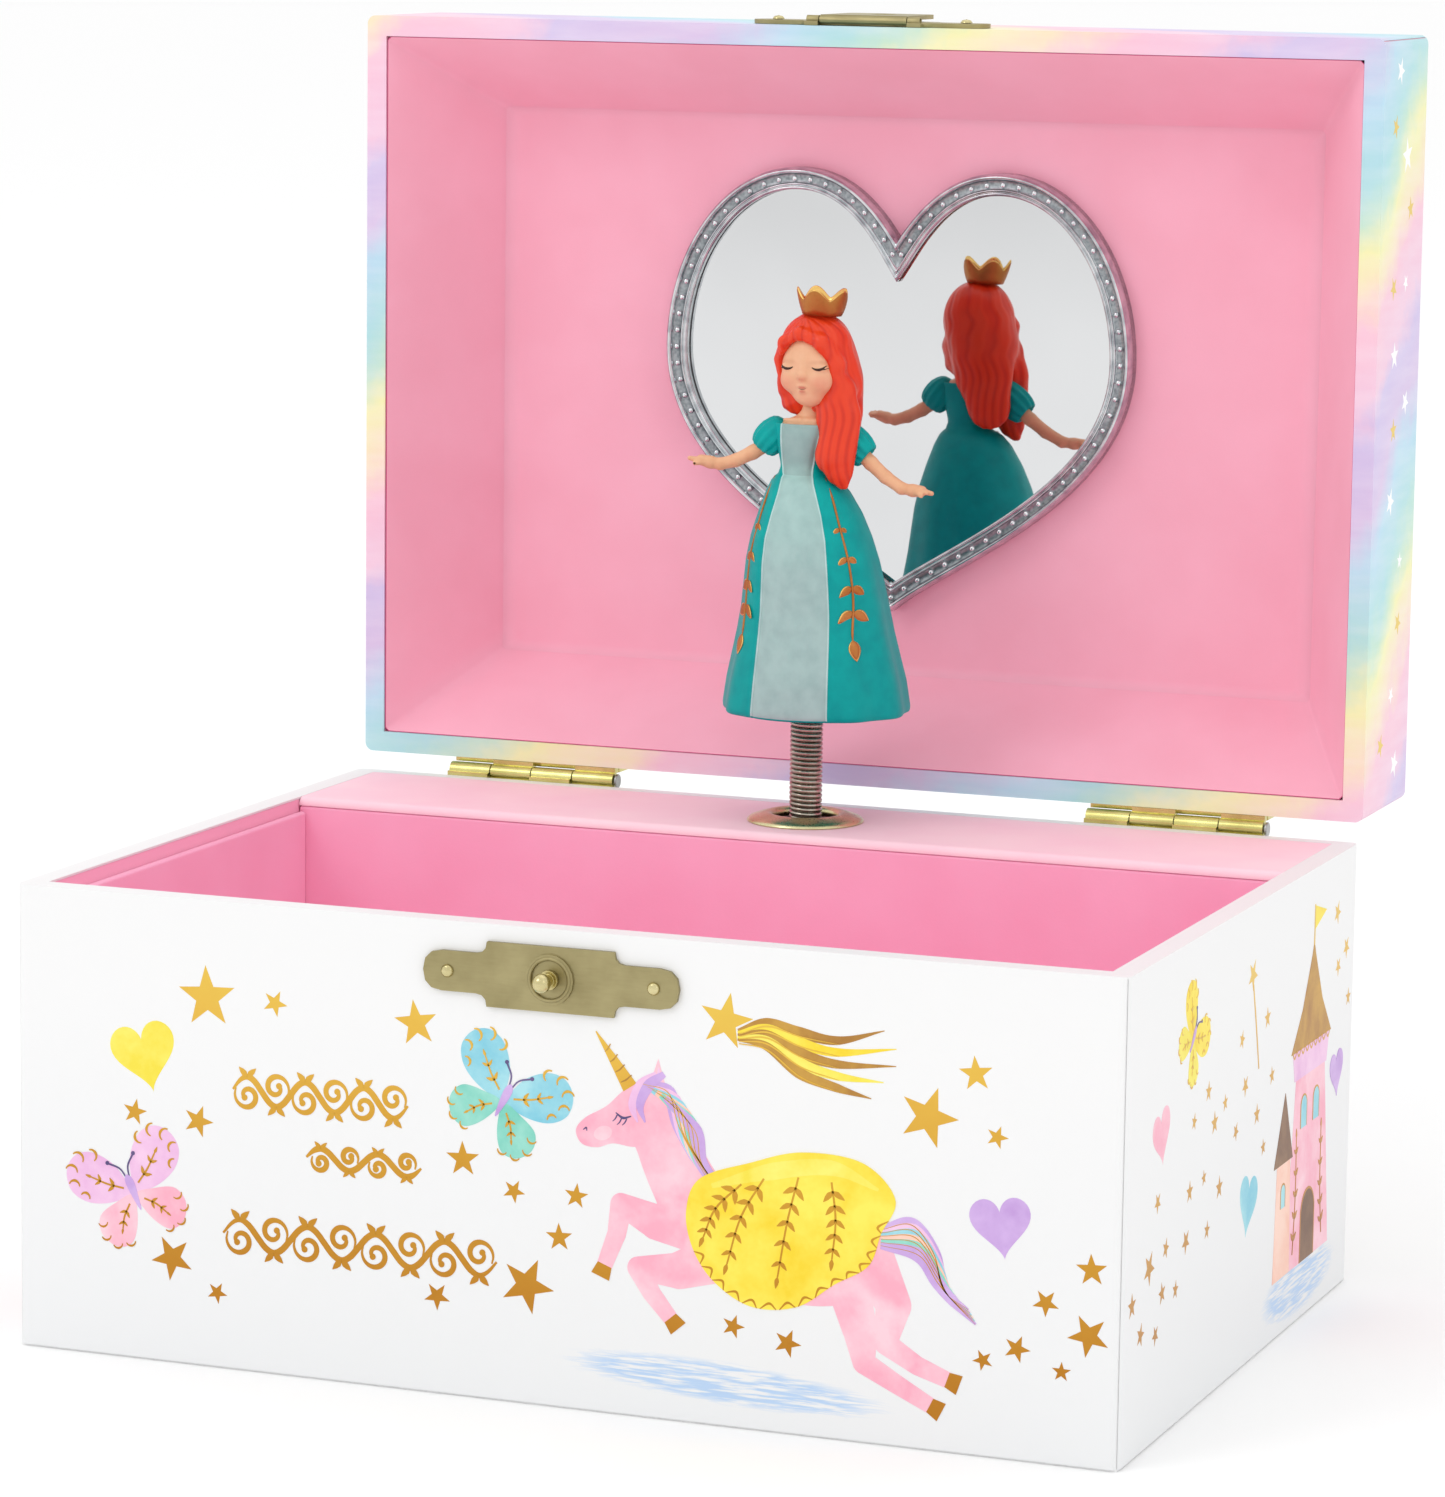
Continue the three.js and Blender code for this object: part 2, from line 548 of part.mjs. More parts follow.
const buildCatch = () => {
  const place = (made) => againstY(made).translate([0, LID_FRONT - GLUE, LID_RIM + CATCH_UP]);
  const alongPin = (r, x0, x1) => alongX(rod(r, x0, x1, 10)).translate([0, HASP_AXIS_V, HASP_AXIS_OUT]);
  const end = HASP_HALF + KNUCKLE_GAP;
  const notchTop = HASP_AXIS_V + HASP_KNUCKLE_R + KNUCKLE_GAP;
  const notch = box(-end, end, -LATCH_HEIGHT, notchTop, -1, LATCH_THICK + 1);
  const knuckles = [alongPin(HASP_KNUCKLE_R, -end - 1.8, -end), alongPin(HASP_KNUCKLE_R, end, end + 1.8)];
  const bore = alongPin(HASP_PIN_R + RUNNING, -end - 3, end + 3);
  put("catch_plate", place(cut(join(cut(latchPlate(), notch), ...knuckles), bore)), brass, lid);
  put("catch_pin_left", place(latchPin().translate([-LATCH_PIN_X, 0, 0])), brass, lid);
  put("catch_pin_right", place(latchPin().translate([LATCH_PIN_X, 0, 0])), brass, lid);
  const z0 = LATCH_THICK + 0.3;
  const studReach = HASP_STUD_REACH;
  const half = HASP_SLOT_LENGTH / 2;
  const far = studReach + half + HASP_MARGIN;
  const outline = roundedRectangle(-HASP_HALF, HASP_HALF, HASP_AXIS_V, HASP_AXIS_V + far, 1.8);
  const middle = HASP_AXIS_V + studReach;
  const slotHalf = HASP_SLOT_W / 2;
  const slot = roundedRectangle(-slotHalf, slotHalf, middle - half, middle + half, slotHalf - 0.05);
  const flap = cut(slab(outline, z0, z0 + HASP_THICK, 4), slab(slot, z0 - 1, z0 + 2, 4));
  const root = box(-HASP_HALF, HASP_HALF, HASP_AXIS_V, HASP_AXIS_V + 1.8, z0, z0 + HASP_THICK);
  const pin = alongPin(HASP_PIN_R, -end - 1.7, end + 1.7);
  put("hasp", place(join(flap, root, alongPin(HASP_KNUCKLE_R, -HASP_HALF, HASP_HALF), pin)), brass, lid);
};

// ---- figurine, about its own axis with the hem at z = 0 ----

const placeFigure = (made) => made.translate([0, FIGURE_Y, HEM_Z]);
const SHOULDER_Z = 42;
const HEAD_Z = 51;
const ARM_DROOP = 3; // how much lower the right hand is held

const gownBody = (grow = 0) => {
  const g = grow;
  const skirt = [[1, 0.8], [0.98, 5], [0.91, 8.5], [0.845, 12], [0.77, 18.5], [0.735, 22], [0.68, 25.5],
    [0.59, 29], [0.48, 32], [0.38, 34]];
  const profile = [
    [0, 0 - g], [HEM_R - 0.6 + g, 0 - g], ...skirt.map(([share, z]) => [share * HEM_R + g, z]),
    [2.9 + g, 35.5], [3.3 + g, 39.5], [2.9 + g, SHOULDER_Z + g], [0, SHOULDER_Z + 0.3 + g],
  ];
  return turned(profile, 18).scale([1, 0.94, 1]);
};

// An arm along a bent line from the shoulder to the fingers, thinner towards the wrist.
const arm = (side, grow = 0) => {
  const droop = side > 0 ? ARM_DROOP : 0;
  const elbow = [10, -0.4, 38.3 - 0.6 * droop];
  const points = [[5.6, 0, 40.6], elbow, [14, -1, 36.9 - droop], [16.4, -1.4, 36.4 - droop]];
  const curve = new THREE.CatmullRomCurve3(points.map(([x, y, z]) => new THREE.Vector3(side * x, y, z)));
  const section = new THREE.Shape();
  section.absarc(0, 0, 0.95 + grow, 0, 2 * Math.PI);
  const limb = solid(
    new THREE.ExtrudeGeometry(section, { steps: 5, extrudePath: curve, curveSegments: 4 }),
  );
  const hand = egg(2 + grow, 0.9 + grow, 0.65 + grow, side * 17, -1.5, 36.3 - droop, 10, 6);
  return join(limb, hand);
};

const sleeve = (side, grow = 0) => egg(2.6 + grow, 2.3 + grow, 2.2 + grow, side * 4.9, 0, 40.6, 12, 6);

const headSolid = (grow = 0) => {
  const skull = egg(4.6 + grow, 4.7 + grow, 5.7 + grow, 0, -0.2, HEAD_Z, 14, 8);
  const neck = rod(1.5 + grow, SHOULDER_Z + 0.35 - grow, HEAD_Z - 3, 10);
  return join(skull, neck);
};

const crownSolid = (grow = 0) => {
  const z = HEAD_Z + 5.9;
  const outer = turned([[0, z], [2.5 + grow, z], [3.5 + grow, z + 4.3 + grow], [0, z + 4.3 + grow]], 15);
  if (grow) return outer;
  const inner = turned([[0, z - 1], [1.9, z - 1], [2.95, z + 5], [0, z + 5]], 15);
  const gaps = [0, 1, 2, 3, 4].map((i) => {
    const vee = polygon([[-1.9, 5], [0, 1.5], [1.9, 5]]);
    return slab(vee, 0, 5).rotate([90, 0, 0]).translate([0, 0, z]).rotate([0, 0, 72 * i + 18]);
  });
  return cut(outer, inner, ...gaps);
};

const hairSolid = () => {
  const cap = egg(5.9, 5.9, 6.6, 0.3, 0.9, HEAD_Z + 0.5, 12, 8);
  const back = egg(5.4, 3.1, 9, 0.6, 3.1, HEAD_Z - 5.6, 12, 6);
  const fall = egg(2.9, 2.9, 8.6, 4.6, -2, HEAD_Z - 8, 10, 6);
  const face = egg(3.9, 4, 5.2, -0.5, -5.2, HEAD_Z - 1.6, 10, 6);
  return cut(join(cap, back, fall), face);
};

const buildFigure = () => {
  const bore = join(
    rod(SPRING_R + 0.35, -1, SPRING_TOP - HEM_UP + 0.35, 18),
    rod(SPINDLE_R + GLUE, 0, SPRING_TOP - HEM_UP + 10.4, 16),
  );
  const arms = [arm(-1), arm(1)];
  const armRoom = [arm(-1, 2 * GLUE), arm(1, 2 * GLUE)];
  const dress = cut(join(gownBody(), sleeve(-1), sleeve(1)), bore, ...armRoom, headSolid(2 * GLUE));
  const grownDress = join(gownBody(2 * GLUE), sleeve(-1, 2 * GLUE), sleeve(1, 2 * GLUE));
  const crown = crownSolid();
  put("figure_gown", placeFigure(dress), gown);
  put("figure_head", placeFigure(headSolid()), skin);
  const locks = cut(hairSolid(), headSolid(2 * GLUE), grownDress, ...armRoom, crownSolid(2 * GLUE));
  put("figure_hair", placeFigure(locks), hair);
  put("figure_crown", placeFigure(crown), gold);
  put("figure_arm_left", placeFigure(arms[0]), skin);
  put("figure_arm_right", placeFigure(arms[1]), skin);
  const peg = rod(SPINDLE_R, SPRING_TOP - HEM_UP + 0.3, SPRING_TOP - HEM_UP + 10, 16);
  put("figure_peg", placeFigure(peg), steel);
};

const buildSpring = () => {
  const coil = ring(SPRING_R, SPRING_BORE_R, HEIGHT + SPRING_BOTTOM, HEIGHT + SPRING_TOP, 20);
  put("figure_spring", coil.translate([0, FIGURE_Y, 0]), nickel);
  const plug = rod(SPINDLE_R, HEIGHT + SPRING_TOP - 5.8, HEIGHT + SPRING_TOP, 16);
  put("spring_plug", plug.translate([0, FIGURE_Y, 0]), steel);
};

// ---- music movement ----

const PINION_Z = BARREL_CASE_Z + CONTRATE_R;
const PINION_R = (CONTRATE_R * PINION_TEETH) / CONTRATE_TEETH;
const DRUM_FACE = FIGURE_Y + PINION_R + 1.2; // root of the drum's face teeth
const BED_FRONT = INNER_BACK - GLUE - BEDPLATE;
const LOWER_EAR = BARREL_CASE_Z + BARREL_CASE_R + 0.5;
const EAR = 1.2;
const CYLINDER_Z = LOWER_EAR + EAR + 0.5;
const TRAIN_Z = CYLINDER_Z + CYLINDER_LENGTH + 0.4;
const TRAIN_THICK = 1.2;
const UPPER_EAR = TRAIN_Z + TRAIN_THICK + 0.4;
const FLY_X = -(TRAIN_MODULE * (TRAIN_TEETH + FLY_TEETH)) / 2 - 0.1;

const at = (made) => made.translate([0, FIGURE_Y, 0]);

const buildBedplate = () => {
  const plate = box(-28, 28, BED_FRONT, INNER_BACK - GLUE, BOTTOM + 1.5, UPPER_EAR + EAR + 1);
  const ear = (z, half) => box(-half, half, FIGURE_Y - 2.5, BED_FRONT + 0.1, z, z + EAR);
  const farEar = box(FLY_X - 2.5, 2.5, FIGURE_Y - 2.5, BED_FRONT + 0.1, UPPER_EAR, UPPER_EAR + EAR);
  const block = box(18, 27, FIGURE_Y + 1, BED_FRONT + 0.1, CYLINDER_Z, CYLINDER_Z + CYLINDER_LENGTH);
  const arborHoles = at(rod(ARBOR_R + RUNNING, LOWER_EAR - 1, UPPER_EAR + EAR + 1, 16));
  const flyHole = at(rod(0.5 + RUNNING, UPPER_EAR - 1, UPPER_EAR + EAR + 1, 12)).translate([FLY_X, 0, 0]);
  const windingHole = alongY(rod(ARBOR_R + 0.6, 0, 3 * BEDPLATE, 16));
  const holes = [arborHoles, flyHole, windingHole.translate([0, BED_FRONT - 1, BARREL_CASE_Z])];
  const made = cut(join(plate, ear(LOWER_EAR, 3), farEar, block), ...holes);
  put("movement_bedplate", made, brass);
};

const buildComb = () => {
  const reed = CYLINDER_LENGTH / COMB_TEETH;
  const tipX = CYLINDER_R + 0.45;
  const thick = 1.1;
  const back = FIGURE_Y + 1 - GLUE;
  const plate = box(tipX, 27, back - thick, back, CYLINDER_Z, CYLINDER_Z + CYLINDER_LENGTH);
  const slits = [];
  for (let i = 1; i < COMB_TEETH; i++) {
    const z = CYLINDER_Z + i * reed;
    slits.push(box(tipX - 1, 16.5, FIGURE_Y - 2, FIGURE_Y + 2, z - 0.12, z + 0.12));
  }
  const screws = [0.25, 0.75].map((share) =>
    againstY(turned([[0, 0], [1.9, 0], [1.9, 0.9], [1.5, 1.2], [0, 1.2]], 14)).translate([
      22.5,
      back - thick + 0.05,
      CYLINDER_Z + CYLINDER_LENGTH * share,
    ]),
  );
  put("music_comb", cut(join(plate, ...screws), ...slits), steel);
};

const buildCylinder = () => {
  // The pinion stands with a gap between two teeth on the drum's side, where one of the drum's teeth lies.
  const pinion = wheel(PINION_TEETH, 1.25, PINION_R + 0.75, 0.75, 0.4, PINION_Z - 1, PINION_Z + 1);
  const meshed = pinion.rotate([0, 0, 90 + 180 / PINION_TEETH]);
  const train = wheel(
    TRAIN_TEETH,
    (TRAIN_MODULE * TRAIN_TEETH) / 2 - 0.6,
    (TRAIN_MODULE * TRAIN_TEETH) / 2 + 0.4,
    0.8,
    0.35,
    TRAIN_Z,
    TRAIN_Z + TRAIN_THICK,
  );
  const arbor = rod(ARBOR_R, PINION_Z - 1, UPPER_EAR + EAR + 0.2, 16);
  const core = rod(CYLINDER_R, CYLINDER_Z, CYLINDER_Z + CYLINDER_LENGTH, 20);
  put("melody_cylinder", at(join(core, arbor, meshed, train)), brass);
  const spindle = rod(SPINDLE_R, UPPER_EAR + EAR + 0.25, HEIGHT - 4, 16);
  put("drive_spindle", at(spindle), steel);
};

const buildBarrel = () => {
  const back = BED_FRONT - 0.5;
  const length = back - DRUM_FACE;
  const drum = cut(rod(BARREL_CASE_R, 0, length, 28), rod(ARBOR_R + RUNNING, -1, length + 1, 16));
  const tooth = box(-0.3, 0.3, CONTRATE_R - 1.1, CONTRATE_R + 0.8, -1.7, 0.1);
  const teeth = [];
  for (let i = 0; i < CONTRATE_TEETH; i++) teeth.push(tooth.rotate([0, 0, (360 * i) / CONTRATE_TEETH]));
  const made = join(drum, ...teeth);
  put("spring_barrel", alongY(made).translate([0, DRUM_FACE, BARREL_CASE_Z]), brass);
};

const buildKey = () => {
  const start = DRUM_FACE + 0.5;
  const stem = DEPTH / 2 + 8 - start;
  const collar = rod(2.2, stem - 7, stem, 16);
  const wing = egg(KEY_SPAN / 4, 3.4, 1, 0, 0, 0, 12, 4);
  const wings = [-1, 1].map((side) =>
    wing.rotate([90, 0, 0]).translate([(side * KEY_SPAN) / 4, 0, stem - 1.5]),
  );
  const eyes = [-1, 1].map((side) =>
    rod(1.2, -3, 3, 8).rotate([90, 0, 0]).translate([side * KEY_SPAN * 0.29, 0, stem - 1.5]),
  );
  const made = join(rod(ARBOR_R, 0, stem, 16), collar, cut(join(...wings), ...eyes));
  put("winding_key", alongY(made).translate([0, start, BARREL_CASE_Z]), brass);
};

const buildFly = () => {
  const pitch = (TRAIN_MODULE * FLY_TEETH) / 2;
  const phase = 180 / FLY_TEETH;
  const [from, to] = [TRAIN_Z - 0.1, TRAIN_Z + TRAIN_THICK + 0.1];
  const pinion = wheel(FLY_TEETH, pitch - 0.65, pitch + 0.4, 0.7, 0.35, from, to);
  const low = TRAIN_Z - 7;
  const arbor = rod(0.5, low - 1, UPPER_EAR + EAR + 0.2, 12);
  const blades = box(-1.9, 1.9, -0.25, 0.25, low, low + 5);
  const made = join(pinion.rotate([0, 0, phase]), arbor, blades);
  put("governor_fly", at(made).translate([FLY_X, 0, 0]), steel);
};

const STOP_RISE = 2.6;

const buildStopWire = () => {
  const wire = rod(STOP_WIRE_R, UPPER_EAR + EAR + 3, HEIGHT + STOP_RISE, 12);
  put("stop_wire", wire.translate([STOP_WIRE_X, STOP_WIRE_Y, 0]), steel);
};

buildWalls();
buildBaseWrap();
buildLinings();
buildDeck();
buildGrommet();
buildLatch();
buildHinges();
buildLidBoards();
buildLidWrap();
buildLiner();
buildMirror();
buildCatch();
buildFigure();
buildSpring();
buildBedplate();
buildComb();
buildCylinder();
buildBarrel();
buildKey();
buildFly();
buildStopWire();

export default object;
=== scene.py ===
"""Looks of a child's musical jewellery box: printed paper over board, pink lining, a heart mirror in a plated
frame, brass fittings, a coil-spring spindle and a painted princess figurine.

Sizes are written in millimetres in the frame of the CAD model and turned to metres where a mesh is made."""

import itertools
import json
import math

import bmesh
import bpy
import numpy as np
from mathutils import Matrix, Vector
from mathutils.geometry import tessellate_polygon


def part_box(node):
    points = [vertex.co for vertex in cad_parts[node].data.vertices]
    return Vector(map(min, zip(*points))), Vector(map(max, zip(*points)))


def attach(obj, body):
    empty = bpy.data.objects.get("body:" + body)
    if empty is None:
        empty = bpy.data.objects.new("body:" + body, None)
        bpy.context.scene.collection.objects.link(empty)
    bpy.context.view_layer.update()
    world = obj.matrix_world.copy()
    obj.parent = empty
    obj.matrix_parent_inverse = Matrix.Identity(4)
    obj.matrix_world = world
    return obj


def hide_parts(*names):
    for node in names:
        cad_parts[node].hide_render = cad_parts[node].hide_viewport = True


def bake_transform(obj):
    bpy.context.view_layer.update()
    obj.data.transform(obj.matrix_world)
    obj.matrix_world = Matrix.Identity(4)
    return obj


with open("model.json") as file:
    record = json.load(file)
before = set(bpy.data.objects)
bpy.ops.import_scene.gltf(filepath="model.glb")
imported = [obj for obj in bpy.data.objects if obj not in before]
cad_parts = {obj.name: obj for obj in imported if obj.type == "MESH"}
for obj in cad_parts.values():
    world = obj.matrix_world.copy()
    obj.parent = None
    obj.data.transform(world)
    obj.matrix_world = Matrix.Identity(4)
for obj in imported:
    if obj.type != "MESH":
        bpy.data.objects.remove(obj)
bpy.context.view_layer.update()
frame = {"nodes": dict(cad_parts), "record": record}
nodes = frame["nodes"]

MM = 0.001
NODE_BODY = {n: b for b, members in frame["record"]["behaviour"]["bodies"].items() for n in members}


def extent(node):
    """Lowest and highest corner of a CAD node, in millimetres."""
    low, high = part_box(node)
    return np.array(low) / MM, np.array(high) / MM


# ---------------------------------------------------------------- places taken from the CAD nodes

WRAP_LOW, WRAP_HIGH = extent("base_wrap")
LID_HIGH = extent("lid_wrap")[1]
GROMMET_LOW, GROMMET_HIGH = extent("deck_grommet")
FRAME_LOW, FRAME_HIGH = extent("mirror_frame")
SPRING_LOW, SPRING_HIGH = extent("figure_spring")
GOWN_LOW = extent("figure_gown")[0]
FRONT_Y = WRAP_LOW[1]
SIDE_X = WRAP_HIGH[0]
RIM_Z = WRAP_HIGH[2]
AXIS = np.array([0.0, (SPRING_LOW[1] + SPRING_HIGH[1]) / 2])  # of the spindle, across X and Y
HEM = np.array([AXIS[0], AXIS[1], GOWN_LOW[2]])  # the figurine's own origin


# ---------------------------------------------------------------- materials


def linear(hex_colour, alpha=1.0):
    """An sRGB hex colour as the linear values that Blender's nodes take."""
    parts = [int(hex_colour[i : i + 2], 16) / 255 for i in (1, 3, 5)]
    return (*[c / 12.92 if c <= 0.04045 else ((c + 0.055) / 1.055) ** 2.4 for c in parts], alpha)


def add(tree, kind, inputs=None, stops=None, **settings):
    """Adds a node: sets its properties and colour stops, then sets or links its inputs by name or number."""
    made = tree.nodes.new(kind)
    for name, value in settings.items():
        setattr(made, name, value)
    for i, (position, hex_colour) in enumerate(stops or []):
        ramp = made.color_ramp.elements
        stop = ramp[i] if i < min(2, len(ramp)) else ramp.new(position)
        stop.position, stop.color = position, linear(hex_colour)
    for key, value in (inputs or {}).items():
        if isinstance(value, bpy.types.NodeSocket):
            tree.links.new(value, made.inputs[key])
        else:
            made.inputs[key].default_value = value
    return made


def new_finish(name, rough, metallic=0.0, **sockets):
    """A material with its shader set, and the object coordinates that its patterns read."""
    material = bpy.data.materials.new(name)
    material.use_nodes = True
    tree = material.node_tree
    shader = tree.nodes["Principled BSDF"]
    shader.inputs["Roughness"].default_value = rough
    shader.inputs["Metallic"].default_value = metallic
    for key, value in sockets.items():
        shader.inputs[key.replace("_", " ")].default_value = value
    place = add(tree, "ShaderNodeTexCoord").outputs["Object"]
    return material, tree, shader, place


def dappled(tree, shader, place, size, deep, hex_colour, low=0.3, high=0.65, detail=4.0):
    """Base colour that wanders between two near tones over `size` mm."""
    slow = add(tree, "ShaderNodeTexNoise", {"Vector": place, "Scale": 1 / (size * MM), "Detail": detail})
    tone = add(tree, "ShaderNodeValToRGB", {0: slow.outputs["Fac"]}, [(low, deep), (high, hex_colour)])
    tree.links.new(tone.outputs["Color"], shader.inputs["Base Color"])


def grained(tree, shader, place, size, strength, relief, detail=2.0):
    """Relief of a grain `size` mm long and `relief` mm deep. Returns the grain, for gloss that follows it."""
    grain = add(tree, "ShaderNodeTexNoise", {"Vector": place, "Scale": 1 / (size * MM), "Detail": detail})
    bump = add(
        tree, "ShaderNodeBump",
        {"Height": grain.outputs["Fac"], "Strength": strength, "Distance": relief * MM}
    )
    tree.links.new(bump.outputs["Normal"], shader.inputs["Normal"])
    return grain.outputs["Fac"]


def paper(name, hex_colour, deep, rough=0.7, fibre=0.35, cloud=14.0, relief=0.05, **sockets):
    """Paper glued over board: a slow cloudiness between two near tones, and a fibre grain `fibre` mm long."""
    material, tree, shader, place = new_finish(name, rough, **sockets)
    dappled(tree, shader, place, cloud, deep, hex_colour, low=0.35, detail=3.0)
    grain = grained(tree, shader, place, fibre, 0.3, relief)
    gloss = add(tree, "ShaderNodeMapRange", {0: grain, 3: rough - 0.05, 4: rough + 0.07})
    tree.links.new(gloss.outputs[0], shader.inputs["Roughness"])
    return material


def metal(name, hex_colour, deep, rough, streak=(1, 1, 1), grain=0.25, relief=0.01, tarnish=6.0):
    """Plated or turned metal: a tarnish that wanders over `tarnish` mm, and a fine grain along `streak`."""
    material, tree, shader, place = new_finish(name, rough, 1.0)
    dappled(tree, shader, place, tarnish, deep, hex_colour, high=0.62)
    drawn = add(tree, "ShaderNodeMapping", {"Vector": place, "Scale": streak})
    fine = grained(tree, shader, drawn.outputs[0], grain, 0.5, relief, detail=3.0)
    gloss = add(tree, "ShaderNodeMapRange", {0: fine, 1: 0.3, 2: 0.7, 3: rough - 0.06, 4: rough + 0.1})
    tree.links.new(gloss.outputs[0], shader.inputs["Roughness"])
    return material


def enamel(name, hex_colour, deep, rough=0.42, mottle=2.2, relief=0.04, brush=(1, 1, 1), shine=0.3):
    """Hand-sprayed or brushed enamel on moulded plastic: two near tones, and the soft relief of the brush."""
    material, tree, shader, place = new_finish(name, rough, IOR=1.5, Specular_IOR_Level=shine)
    dappled(tree, shader, place, mottle, deep, hex_colour)
    drawn = add(tree, "ShaderNodeMapping", {"Vector": place, "Scale": brush})
    grained(tree, shader, drawn.outputs[0], 0.5, 0.6, relief, detail=3.0)
    return material


def watercolour(name, pale, deep, wet=0.6):
    """Offset print of a watercolour wash: pigment settles in soft pools and in a fine paper grain."""
    material, tree, shader, place = new_finish(name, 0.45)
    pools = add(
        tree, "ShaderNodeTexNoise", {"Vector": place, "Scale": 1 / (7 * MM), "Detail": 2.0, "Distortion": wet}
    )
    speck = add(tree, "ShaderNodeTexNoise", {"Vector": place, "Scale": 1 / (0.7 * MM), "Detail": 1.0})
    both = add(
        tree, "ShaderNodeMath", {0: speck.outputs["Fac"], 1: 0.16, 2: pools.outputs["Fac"]},
        operation="MULTIPLY_ADD"
    )
    tone = add(tree, "ShaderNodeMapRange", {0: both.outputs[0], 1: 0.4, 2: 0.76})
    wash = add(tree, "ShaderNodeValToRGB", {0: tone.outputs[0]}, [(0.0, deep), (1.0, pale)])
    tree.links.new(wash.outputs["Color"], shader.inputs["Base Color"])
    return material


def laminated_art_paper():
    """White art paper with a matt film: white with painted shade that darkens it a little towards the foot,
    and on two faces a pale pencil scribble.
    """
    material, tree, shader, place = new_finish("laminated_art_paper", 0.42)
    axes = add(tree, "ShaderNodeSeparateXYZ", {0: place}).outputs
    # Painted shade: the white grows a little darker towards the foot of the box.
    shade_by_height = add(tree, "ShaderNodeMapRange", {0: axes["Z"], 1: 0.0, 2: RIM_Z * MM})
    ground = add(tree, "ShaderNodeValToRGB", {0: shade_by_height.outputs[0]}, [(0.0, "#E8E9EA"), (0.8, "#EEEEEE")])
    hatch = add(
        tree, "ShaderNodeMapping", {"Vector": place, "Rotation": (0.4, 0.5, 0.0), "Scale": (0.16, 0.16, 2.2)}
    )
    lines = add(
        tree, "ShaderNodeTexNoise", {"Vector": hatch.outputs[0], "Scale": 1 / (0.9 * MM), "Detail": 4.0}
    )
    pencil = add(tree, "ShaderNodeMapRange", {0: lines.outputs["Fac"], 1: 0.4, 2: 0.56})
    colour = ground.outputs["Color"]
    for centre, half, facing in (
        ((24.0, FRONT_Y, 5.7), (20.5, 2.5, 2.6), 1), ((SIDE_X, 28.0, 5.4), (2.5, 17.0, 4.0), 0)
    ):
        turn = 0.05 if facing else 0.0
        local = add(
            tree, "ShaderNodeMapping", {"Vector": place, "Rotation": (0.0, turn, 0.0)}, vector_type="TEXTURE"
        )
        local.inputs["Location"].default_value = [c * MM for c in centre]
        local.inputs["Scale"].default_value = [h * MM for h in half]
        reach = add(tree, "ShaderNodeVectorMath", {0: local.outputs[0]}, operation="LENGTH")
        ragged = add(
            tree, "ShaderNodeMath", {0: reach.outputs["Value"], 1: lines.outputs["Fac"]}, operation="ADD"
        )
        mask = add(tree, "ShaderNodeMapRange", {0: ragged.outputs[0], 1: 1.6, 2: 1.35})
        share = add(tree, "ShaderNodeMath", {0: mask.outputs[0], 1: pencil.outputs[0]}, operation="MULTIPLY")
        mixed = add(
            tree, "ShaderNodeMix", {"Factor": share.outputs[0], 6: colour, 7: linear("#B4CEEC")},
            data_type="RGBA"
        )
        colour = mixed.outputs[2]
    tree.links.new(colour, shader.inputs["Base Color"])
    grained(tree, shader, place, 0.5, 0.2, 0.02)
    return material


def pastel_wash_paper():
    """Art paper printed with slanting bands of wet watercolour that bleed into each other."""
    material, tree, shader, place = new_finish("pastel_wash_paper", 0.45)
    wander = add(
        tree, "ShaderNodeTexNoise",
        {"Vector": place, "Scale": 1 / (26 * MM), "Detail": 5.0, "Roughness": 0.62}
    )
    axes = add(tree, "ShaderNodeSeparateXYZ", {0: place}).outputs
    slant = add(tree, "ShaderNodeMath", {0: axes["Y"], 1: -0.75, 2: axes["Z"]}, operation="MULTIPLY_ADD")
    across = add(
        tree, "ShaderNodeMath", {0: axes["X"], 1: -0.62, 2: slant.outputs[0]}, operation="MULTIPLY_ADD"
    )
    turns = add(
        tree, "ShaderNodeMath", {0: across.outputs[0], 1: 1 / (64 * MM), 2: 0.47}, operation="MULTIPLY_ADD"
    )
    bled = add(
        tree, "ShaderNodeMath", {0: wander.outputs["Fac"], 1: 0.42, 2: turns.outputs[0]},
        operation="MULTIPLY_ADD"
    )
    band = add(tree, "ShaderNodeMath", {0: bled.outputs[0]}, operation="FRACT")
    wash = [
        (0.0, "#D6C2E4"), (0.13, "#CFC0E6"), (0.21, "#EFC6DD"), (0.36, "#F5C4D6"), (0.45, "#F5E2C4"),
        (0.56, "#F1EFB2")
    ]
    wash += [(0.65, "#C4E4CE"), (0.74, "#ACDCDF"), (0.87, "#B6DAEC"), (1.0, "#D6C2E4")]
    tone = add(tree, "ShaderNodeValToRGB", {0: band.outputs[0]}, wash)
    brush = add(tree, "ShaderNodeMapping", {"Vector": place, "Scale": (0.5, 0.5, 3.0)})
    streak = add(
        tree, "ShaderNodeTexNoise", {"Vector": brush.outputs[0], "Scale": 1 / (6 * MM), "Detail": 6.0}
    )
    pale = add(tree, "ShaderNodeMapRange", {0: streak.outputs["Fac"], 1: 0.35, 2: 0.75, 4: 0.22})
    mixed = add(
        tree, "ShaderNodeMix", {"Factor": pale.outputs[0], 6: tone.outputs["Color"], 7: linear("#FBF6FB")},
        data_type="RGBA"
    )
    tree.links.new(mixed.outputs[2], shader.inputs["Base Color"])
    grained(tree, shader, place, 0.5, 0.2, 0.02)
    return material


